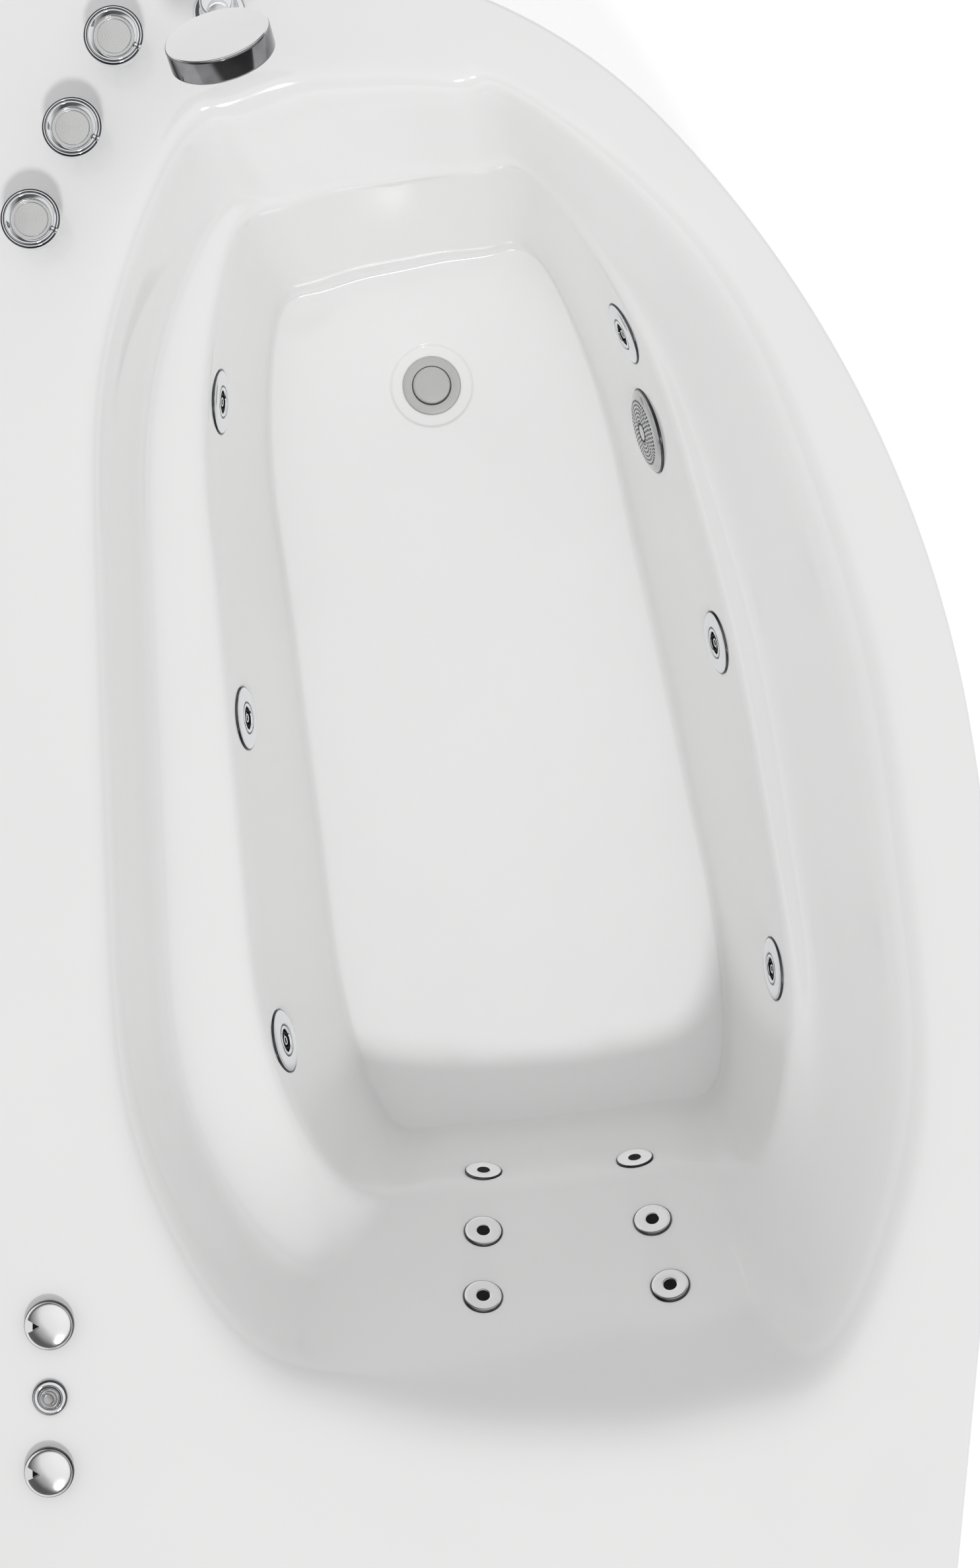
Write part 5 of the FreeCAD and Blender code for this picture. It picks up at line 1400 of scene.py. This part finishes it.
@dataclass
class Taps:
    """Two taps and a diverter on the deck."""

    radius: float = 29.5
    height: float = 44.0
    recess: float = 20.5
    floor_drop: float = 5.0
    waist: float = 14.0
    base: float = 16.0
    lever_turn: float = -115.0

    def build(self) -> None:
        """Build the handles and the fixed rings with their valves."""
        valves = Piece("tap_rings")
        for joint in frame["joints"]:
            if not joint["name"].startswith("tap_"):
                continue
            spot = Vector(joint["pos_m"])
            self.handle(joint["child"], spot)
            valves.turn([(0, -77, 0), (10.3, -77, 0.8), (10.3, -62, 0), (21, -62, 1), (21, -6, 1),
                         (13, -6, 0), (13, 0, 0), (self.base, 0, 0.3), (self.base, 3.6, 0.6),
                         (self.base - 1.2, 5.0, 0.8), (8, 5.0, 0), (8, -10, 0), (0, -10, 0)],
                        Matrix.Translation(spot), CHROME)
        presented(valves.done(), "tub", "chrome", "tap_valves")

    def handle(self, body: str, spot: Vector) -> None:
        """Build one handle.

        Args:
            body: Its body.
            spot: Place on the deck.
        """
        place = Matrix.Translation(spot)
        r, top = self.radius, self.height
        floor = top - self.floor_drop
        satin = replace(SATIN, name=f"{body}_satin_turned", centre=tuple(spot), light=(0.74, 0.74, 0.73),
                        dark=(0.62, 0.62, 0.62))
        knob = Piece(f"{body}_handle").turn([
            (0, -20, 0), (7, -20, 0), (7, 5.3, 0), (self.waist - 0.6, 5.3, 0.4), (self.waist, 6.2, 0.5),
            (self.waist, 12, 3.0), (r - 0.8, 29.2, 2.0), (r, 31, 1.0), (r, top - 1.7, 0.3),
            (r - 1.5, top - 0.6, 0.2), (r - 2.3, top - 0.5, 0.2), (r - 3.1, top - 1.1, 0.1),
            (r - 3.8, top - 0.5, 0.2), (r - 4.5, top, 0.4), (self.recess + 3.5, top, 0.4),
            (self.recess, top - 2.7, 0.3), (self.recess, floor - 0.6, 0), (0, floor - 0.6, 0)], place,
            CHROME)
        knob.turn([(0, floor - 0.6, 0), (self.recess, floor - 0.6, 0), (self.recess - 0.1, floor, 0.3),
                   (self.recess - 3.2, floor, 0.2), (self.recess - 3.6, floor - 0.3, 0.1),
                   (self.recess - 4.0, floor, 0.2), (0, floor, 0)], place, satin)
        # Painted shade: two dark rings on the top rim stand in for its dark reflections and the shade in
        # its groove.
        knob.turn([(r - 1.4, top - 2.6, 0), (r + 0.08, top - 2.6, 0), (r + 0.08, top - 1.7, 0.2),
                   (r - 1.4, top - 0.6, 0.1)], place, PAINTED_SHADE_LINE, closed=True)
        knob.turn([(r - 3.7, top - 1.4, 0), (r - 2.5, top - 1.4, 0), (r - 2.5, top - 0.62, 0),
                   (r - 3.7, top - 0.62, 0)], place, PAINTED_SHADE_LINE, closed=True)
        turn = place @ Matrix.Rotation(math.radians(self.lever_turn), 4, "Z")
        pin = beside(turn, 0, 0, top - 1.7) @ Matrix.Rotation(math.pi / 2, 4, "Y")
        knob.turn([(0, 23, 0), (3.0, 23, 0.4), (3.0, 26.4, 0.3), (2.4, 26.8, 0.2), (2.4, 27.6, 0.2),
                   (3.0, 28.0, 0.3), (3.0, 30.4, 0.8), (0, 31, 0)], pin, CHROME, segments=40)
        # Painted shade: dark collars on the pin stand in for the shade at its root and in its groove.
        for low, high in ((22.6, 23.6), (26.4, 27.9)):
            knob.turn([(2.2, low, 0), (3.1, low, 0), (3.1, high, 0), (2.2, high, 0)], pin, PAINTED_SHADE_LINE,
                      closed=True, segments=40)
        presented(knob.done(), body, "chrome", body.replace("tap_", "tap_handle_"))


@dataclass
class HandShower:
    """Holder on the deck and the hand shower that lifts out of it."""

    holder: Corner = (791.0, 265.0, 600.0)
    start: Corner = (798.651, 266.696, 606.0)
    head: Corner = (708.015, 246.603, 760.0)
    spray: Corner = (-0.69147, -0.19828, -0.69466)
    drum: float = 51.0
    face: float = 46.5
    nub_rings: tuple[float, ...] = (0.0, 7.5, 15.0, 22.5, 30.0, 37.5)

    def build(self) -> None:
        """Build the holder, the handle with its drum and the spray face."""
        start, head, spray = Vector(self.start) * MM, Vector(self.head) * MM, Vector(self.spray)
        axis = (head - start).normalized()
        length = (head - start).length / MM
        cup = Piece("holder_cup").turn([
            (0, -36, 0), (8, -36, 0.8), (8, 0, 0), (26.5, 0, 0.3), (26.5, 3.0, 0.8), (24.6, 5.0, 1.5),
            (18.5, 7.5, 3.0), (16.5, 16, 4.0), (17.2, 34, 2.0), (15.6, 38, 2.0), (0, 38, 0)],
            Matrix.Translation(Vector(self.holder) * MM), CHROME).done()
        carved(cup, [turned([(0, 0, 0), (11.1, 0, 0), (11.1, 70, 0), (0, 70, 0)], aimed(start, axis),
                            segments=64)])
        presented(cup, "tub", "chrome", "shower_holder")
        body = Piece("shower_body").turn([
            (0, 0, 0), (9.6, 0, 0.8), (11, 2, 0.8), (11, 44, 1.0), (10.0, 47, 1.0), (9.4, 60, 4),
            (8.8, 110, 10), (9.6, length - 22, 6), (12.5, length - 12, 3), (12.5, length - 4, 0),
            (0, length - 4, 0)], aimed(start, axis), CHROME)
        drum = aimed(head, spray)
        # Painted reflection: the drum's side and rim take the dark chrome copy with painted light patches.
        body.turn([(0, -11.4, 0), (self.drum - 1.4, -11.4, 0), (self.drum - 0.6, -10.9, 0.3),
                   (self.drum, -9.8, 0.4), (self.drum, 10.4, 0.6), (self.drum - 1.2, 12, 0.8),
                   (self.face + 0.5, 12, 0.3), (self.face + 0.2, 11, 0.2), (0, 11, 0)], drum, DRUM_SIDE_PAINTED_REFLECTION,
                  segments=160)
        # Painted reflection: the drum's back takes the duller grey chrome copy.
        body.turn([(0, -12, 0), (self.drum - 1.8, -12, 0.5), (self.drum - 0.7, -11.1, 0.4),
                   (self.drum - 1.6, -10.6, 0), (0, -10.6, 0)], drum, DRUM_BACK_PAINTED_GREY, segments=160)
        presented(body.done(), "shower", "chrome", "hand_shower")
        plate = Piece("spray_plate").turn([
            (0, 10.9, 0), (self.face, 10.9, 0), (self.face, 13.0, 0.5), (self.face - 4, 13.6, 1.5),
            (0, 13.6, 0)], drum, GREY_PLASTIC).done()
        presented(plate, "shower", "grey_plastic", "shower_face")
        nub = Piece("nub_shape").turn([
            (0, 0, 0), (1.5, 0, 0), (1.1, 0.4, 0.1), (0.5, 0.4, 0.1), (0.45, 0.2, 0), (0, 0.2, 0)],
            Matrix.Identity(4), RUBBER, segments=10).done()
        spots = []
        for ring, reach in enumerate(self.nub_rings):
            count = max(1, ring * 6)
            for k in range(count):
                angle = 2 * math.pi * k / count
                spots.append(beside(drum, reach, angle, 13.5))
        nubs = repeated("spray_nubs", nub, spots, RUBBER)
        presented(nubs, "shower", "grey_plastic")


@dataclass
class Controls:
    """Air controls and the push button at the head end of the deck."""

    knob: float = 25.0
    knob_height: float = 15.0
    button: Corner = (-606.0, 436.5, 600.0)

    def build(self) -> None:
        """Build both knobs, their bodies, the button and its housing."""
        bodies = Piece("air_bases")
        for joint in frame["joints"]:
            if not joint["name"].startswith("air_knob_"):
                continue
            spot = Vector(joint["pos_m"])
            place = Matrix.Translation(spot)
            bodies.turn([(0, -52, 0), (19, -52, 1), (19, 0, 0), (self.knob, 0, 0.2),
                         (self.knob, 1.6, 0.3), (self.knob - 0.6, 2, 0.3), (6, 2, 0), (6, -14, 0),
                         (0, -14, 0)], place, CHROME)
            self.air_knob(joint["child"], place)
        presented(bodies.done(), "tub", "chrome", "air_control_bodies")
        place = Matrix.Translation(Vector(self.button) * MM)
        housing = Piece("button_ring").turn([
            (0, -40, 0), (13, -40, 0.8), (13, 0, 0), (17.5, 0, 0.2), (17.5, 2.6, 0.5), (16.2, 4.8, 1.2),
            (13.4, 5, 0.8), (11.4, 3.8, 0.6), (11.4, -18, 0), (0, -18, 0)], place, CHROME).done()
        presented(housing, "tub", "chrome", "power_button_housing")
        # Painted shade: a dark ring round the housing's outer edge stands in for its dark outline of shade
        # and reflection.
        housing_shade_line = Piece("button_ring_edge").turn([
            (16.4, 0.1, 0), (17.6, 0.1, 0), (17.6, 2.6, 0.4), (16.5, 4.3, 0), (16.2, 4.3, 0)], place,
            PAINTED_SHADE_LINE, closed=True).done()
        cap = Piece("button_cap").turn([
            (0, -12, 0), (11, -12, 0), (11, 5.4, 1.0), (9.6, 7.0, 1.0), (8.0, 7.0, 0.6),
            (7.2, 6.3, 0.3), (6.4, 6.3, 0.3), (5.6, 6.9, 0.4), (4.6, 6.2, 0.6), (0, 5.8, 0)], place,
            BUTTON).done()
        presented(cap, "button", "chrome", "power_button")
        presented(housing_shade_line, "tub", "chrome")

    def air_knob(self, body: str, place: Matrix) -> None:
        """Build one domed knob with its wedge.

        Args:
            body: Its body.
            place: Frame on the deck.
        """
        r, top = self.knob, self.knob_height
        knob = Piece(f"{body}_cap").turn([
            (0, -20, 0), (5, -20, 0), (5, 2.3, 0), (r - 0.6, 2.3, 0.3), (r, 3.0, 0.4), (r, 6.5, 1.8),
            (r - 0.9, 8.8, 1.0), (r - 3.0, 11.4, 2.0), (r - 9, 13.2, 6), (9, 14.4, 8), (0, top, 0)],
            place, PEARL)
        # Painted shade: a dark ring round the knob's side stands in for its dark outline of shade and
        # reflection.
        knob.turn([(r - 1.0, 3.2, 0), (r + 0.08, 3.2, 0), (r + 0.08, 6.6, 0.3), (r - 0.8, 8.7, 0),
                   (r - 1.0, 8.7, 0)], place, PAINTED_SHADE_LINE, closed=True)
        made = knob.done()
        wedge = bar([(-8.0, r + 2), (-6.4, r * 0.8), (-0.4, r * 0.32), (0.4, r * 0.32), (6.4, r * 0.8),
                     (8.0, r + 2)], 8.6, 20, place)
        carved(made, [wedge], angle=30)
        # Painted shade: a black plate at the bottom of the cut wedge stands in for the shade in that
        # hollow.
        notch_shade_plate = bar([(-4.2, r * 0.64), (-0.3, r * 0.34), (0.3, r * 0.34), (4.2, r * 0.64)], 8.3, 9.2, place)
        shade_tip = Piece(f"{body}_notch").add(notch_shade_plate, PAINTED_SHADE_BLACK).done()
        presented(shade_tip, body, "chrome")
        presented(made, body, "chrome", body.replace("air_knob_", "air_control_knob_"))


# ---------------------------------------------------------------- apron and what stands below

@dataclass
class Apron:
    """The curved panel under the rim, with its foot flange and screws."""

    sizes: TubSizes = field(default_factory=TubSizes)
    inset: float = 8.0
    wall: float = 4.0
    low: float = 12.0
    flange: float = 22.0
    steps: int = 240

    def build(self) -> None:
        """Sweep the panel along the outline and set the screws."""
        outline = Outline(self.sizes)
        top = self.sizes.rim - self.sizes.wall
        profile = softened([
            (self.inset, self.low, 3.0), (self.inset, top, 0), (self.inset + self.wall, top, 0),
            (self.inset + self.wall, self.low + self.wall, 2.0),
            (self.inset + self.flange, self.low + self.wall, 0.8),
            (self.inset + self.flange, self.low, 0.8)], True, 3)
        count = self.steps
        verts: list[Vector] = []
        for i in range(count + 1):
            run = self.inset + (outline.length - 2 * self.inset) * i / count
            x, y, a = outline.place(run)
            for depth, height in profile:
                verts.append(Vector((x + depth * math.sin(a), y - depth * math.cos(a), height)) * MM)
        n = len(profile)
        faces: list[tuple[int, ...]] = [tuple(range(n)), tuple(range(count * n, count * n + n))]
        for i in range(count):
            for k in range(n):
                m = (k + 1) % n
                faces.append((i * n + k, i * n + m, (i + 1) * n + m, (i + 1) * n + k))
        panel = Piece("apron_panel").add((verts, faces), ACRYLIC).done()
        presented(panel, "tub", "acrylic_white", "front_apron")
        self.screws()

    def screws(self) -> None:
        """Set a cross-headed screw on every screw of the frame."""
        places = []
        for points in Seats.loose_parts("apron_screws"):
            middle = points.mean(0)
            _, vectors = np.linalg.eigh(np.cov((points - middle).T))
            spread = [float(np.ptp((points - middle) @ vectors[:, k])) for k in range(3)]
            k = int(np.argmax(spread))
            axis = Vector(vectors[:, k])
            if axis.dot(Vector((middle[0], middle[1], 0))) < 0:
                axis = -axis
            top = float(((points - middle) @ np.array(axis)).max())
            places.append(aimed(Vector(middle) + axis * top, axis, UP))
        head = Piece("screw_shape").turn([
            (0, -16, 0), (2.3, -15, 0), (2.3, -2, 0), (6, -2, 0.2), (6, -1.5, 0.3), (4.5, -0.3, 1.0),
            (0, 0, 0)], Matrix.Identity(4), ZINC, segments=40).done()
        cross = [bar([(-2.6, -0.5), (2.6, -0.5), (2.6, 0.5), (-2.6, 0.5)], -1.2, 1,
                     Matrix.Rotation(a, 4, "Z"))
                 for a in (0, math.pi / 2)]
        for tool in cross:
            carved(head, [tool])
        made = repeated("apron_screw_heads", head, places, ZINC)
        presented(made, "tub", "foot_steel", "apron_screws")


@dataclass
class Underside:
    """Finishes of the solids that keep the mesh of the frame."""

    finishes: dict[str, Finish] = field(default_factory=lambda: {
        "jet_bodies": PIPE, "waste_trap": PIPE, "drain_nut": GREY_PLASTIC, "base_board": BOARD,
        "support_frame": ENAMEL, "apron_brackets": ENAMEL, "leg_feet": ZINC, "leg_lock_nuts": ZINC,
        "pump_shelf": ZINC, "pump_volute": BLACK_PLASTIC, "pump_impeller": GREY_PLASTIC,
        "pump_motor": MOTOR,
        "pump_foot": BLACK_PLASTIC, "control_box": GREY_PLASTIC, "control_tube": HOSE,
        "water_pipes": PIPE,
        "air_pipes": HOSE, "suction_pipe": PIPE})

    def build(self) -> None:
        """Give each of these nodes its finish."""
        for node, finish in self.finishes.items():
            thing = frame["nodes"].get(node)
            if thing is None:
                continue
            thing.data.materials.clear()
            thing.data.materials.append(finish.material())
            LOG.info("dressed %s", node)


# ---------------------------------------------------------------- studio

@dataclass
class Studio:
    """Pale floor, soft light and the camera above the tub."""

    camera_place: Corner = (0.013, -0.0075, 2.975)
    lens: float = 54.03
    floor_reach: float = 30.0
    floor_glow: float = 0.35
    light_way: Corner = (0.59, 0.13, -0.8)
    key: Pair = (1.0, 7)
    sheen: Pair = (0.3, 9)
    softbox: Corner = (0.25, -0.35, 0.9)
    plain: float = 0.615
    mirrored: tuple[Pair, ...] = ((0.45, 0.8), (0.53, 0.12), (0.7, 0.08), (0.79, 0.35), (0.87, 0.82))
    mirrored_ends: Pair = (0.8, 0.92)

    def build(self) -> None:
        """Build the floor, the lights, the world and the camera."""
        self.floor()
        self.lights()
        self.world()
        camera = bpy.data.cameras.new("camera")
        camera.lens = self.lens
        camera.sensor_width = 36.0
        camera.clip_end = 100.0
        made = bpy.data.objects.new("camera", camera)
        made.location = self.camera_place
        made.rotation_euler = (0.0, 0.0, -math.pi / 2)
        bpy.context.scene.collection.objects.link(made)
        bpy.context.scene.camera = made
        bpy.context.scene.view_settings.view_transform = "Standard"

    def floor(self) -> None:
        """Build the wide pale floor."""
        data = bpy.data.meshes.new("floor")
        reach = self.floor_reach
        data.from_pydata([(-reach, -reach, 0), (reach, -reach, 0), (reach, reach, 0),
                          (-reach, reach, 0)], [],
                         [(0, 1, 2, 3)])
        material = FLOOR.material()
        shader = material.node_tree.nodes["Principled BSDF"]
        shader.inputs["Emission Color"].default_value = (1, 1, 1, 1)
        shader.inputs["Emission Strength"].default_value = self.floor_glow
        data.materials.append(material)
        made = bpy.data.objects.new("floor", data)
        bpy.context.scene.collection.objects.link(made)

    def lights(self) -> None:
        """Set a soft key from the head end, and the softer light that only glossy surfaces mirror."""
        for name, (energy, angle) in (("key", self.key), ("sheen", self.sheen)):
            sun = bpy.data.lights.new(name, "SUN")
            sun.energy = energy
            sun.angle = math.radians(angle)
            made = bpy.data.objects.new(name, sun)
            made.rotation_mode = "QUATERNION"
            made.rotation_quaternion = Vector(self.light_way).to_track_quat("-Z", "Y")
            made.visible_glossy = name == "sheen"
            made.visible_diffuse = name == "key"
            bpy.context.scene.collection.objects.link(made)

    def world(self) -> None:
        """Set an even white world that metal mirrors as white above and dark round the horizon."""
        world = bpy.data.worlds.new("studio")
        bpy.context.scene.world = world
        world.use_nodes = True
        tree = world.node_tree
        place = added(tree, "ShaderNodeTexCoord")
        lean = added(tree, "ShaderNodeVectorMath")
        lean.operation = "DOT_PRODUCT"
        lean.inputs[1].default_value = self.softbox
        half = added(tree, "ShaderNodeMath")
        half.operation = "MULTIPLY_ADD"
        half.inputs[1].default_value = half.inputs[2].default_value = 0.5
        ramp = added(tree, "ShaderNodeValToRGB")
        ramp.color_ramp.interpolation = "EASE"
        for stop, position, value in zip(ramp.color_ramp.elements, (0.0, 1.0), self.mirrored_ends):
            stop.position, stop.color = position, (value, value, value, 1)
        for position, value in self.mirrored:
            ramp.color_ramp.elements.new(position).color = (value, value, value, 1)
        path = added(tree, "ShaderNodeLightPath")
        plain = added(tree, "ShaderNodeMath")
        plain.operation = "MAXIMUM"
        pick = added(tree, "ShaderNodeMix")
        pick.data_type = "RGBA"
        ends = {socket.identifier: socket for socket in (*pick.inputs, *pick.outputs)}
        ends["B_Color"].default_value = (self.plain, self.plain, self.plain, 1)
        wired(tree, (place.outputs["Generated"], lean.inputs[0]), (lean.outputs["Value"], half.inputs[0]),
              (half.outputs["Value"], ramp.inputs["Fac"]), (ramp.outputs["Color"], ends["A_Color"]),
              (path.outputs["Is Diffuse Ray"], plain.inputs[0]),
              (path.outputs["Is Camera Ray"], plain.inputs[1]),
              (plain.outputs["Value"], pick.inputs["Factor"]),
              (ends["Result_Color"], tree.nodes["Background"].inputs["Color"]))
        tree.nodes["Background"].inputs["Strength"].default_value = 1.0


def main() -> None:
    """Build every part of the tub, dress the frame and set the studio."""
    logging.basicConfig(level=logging.INFO, format="%(message)s")
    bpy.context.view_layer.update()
    seats = Seats().read()
    LOG.info("seats: %d side, %d back", len(seats.side), len(seats.back))
    for maker in (Jets(seats), Suction(seats.suction), Waste(), Taps(), HandShower(), Controls(), Apron(),
                  Underside(), Studio()):
        maker.build()
        LOG.info("built %s", type(maker).__name__)
    TubShell().build(seats)
    LOG.info("built TubShell")


if __name__ == "__main__":
    main()
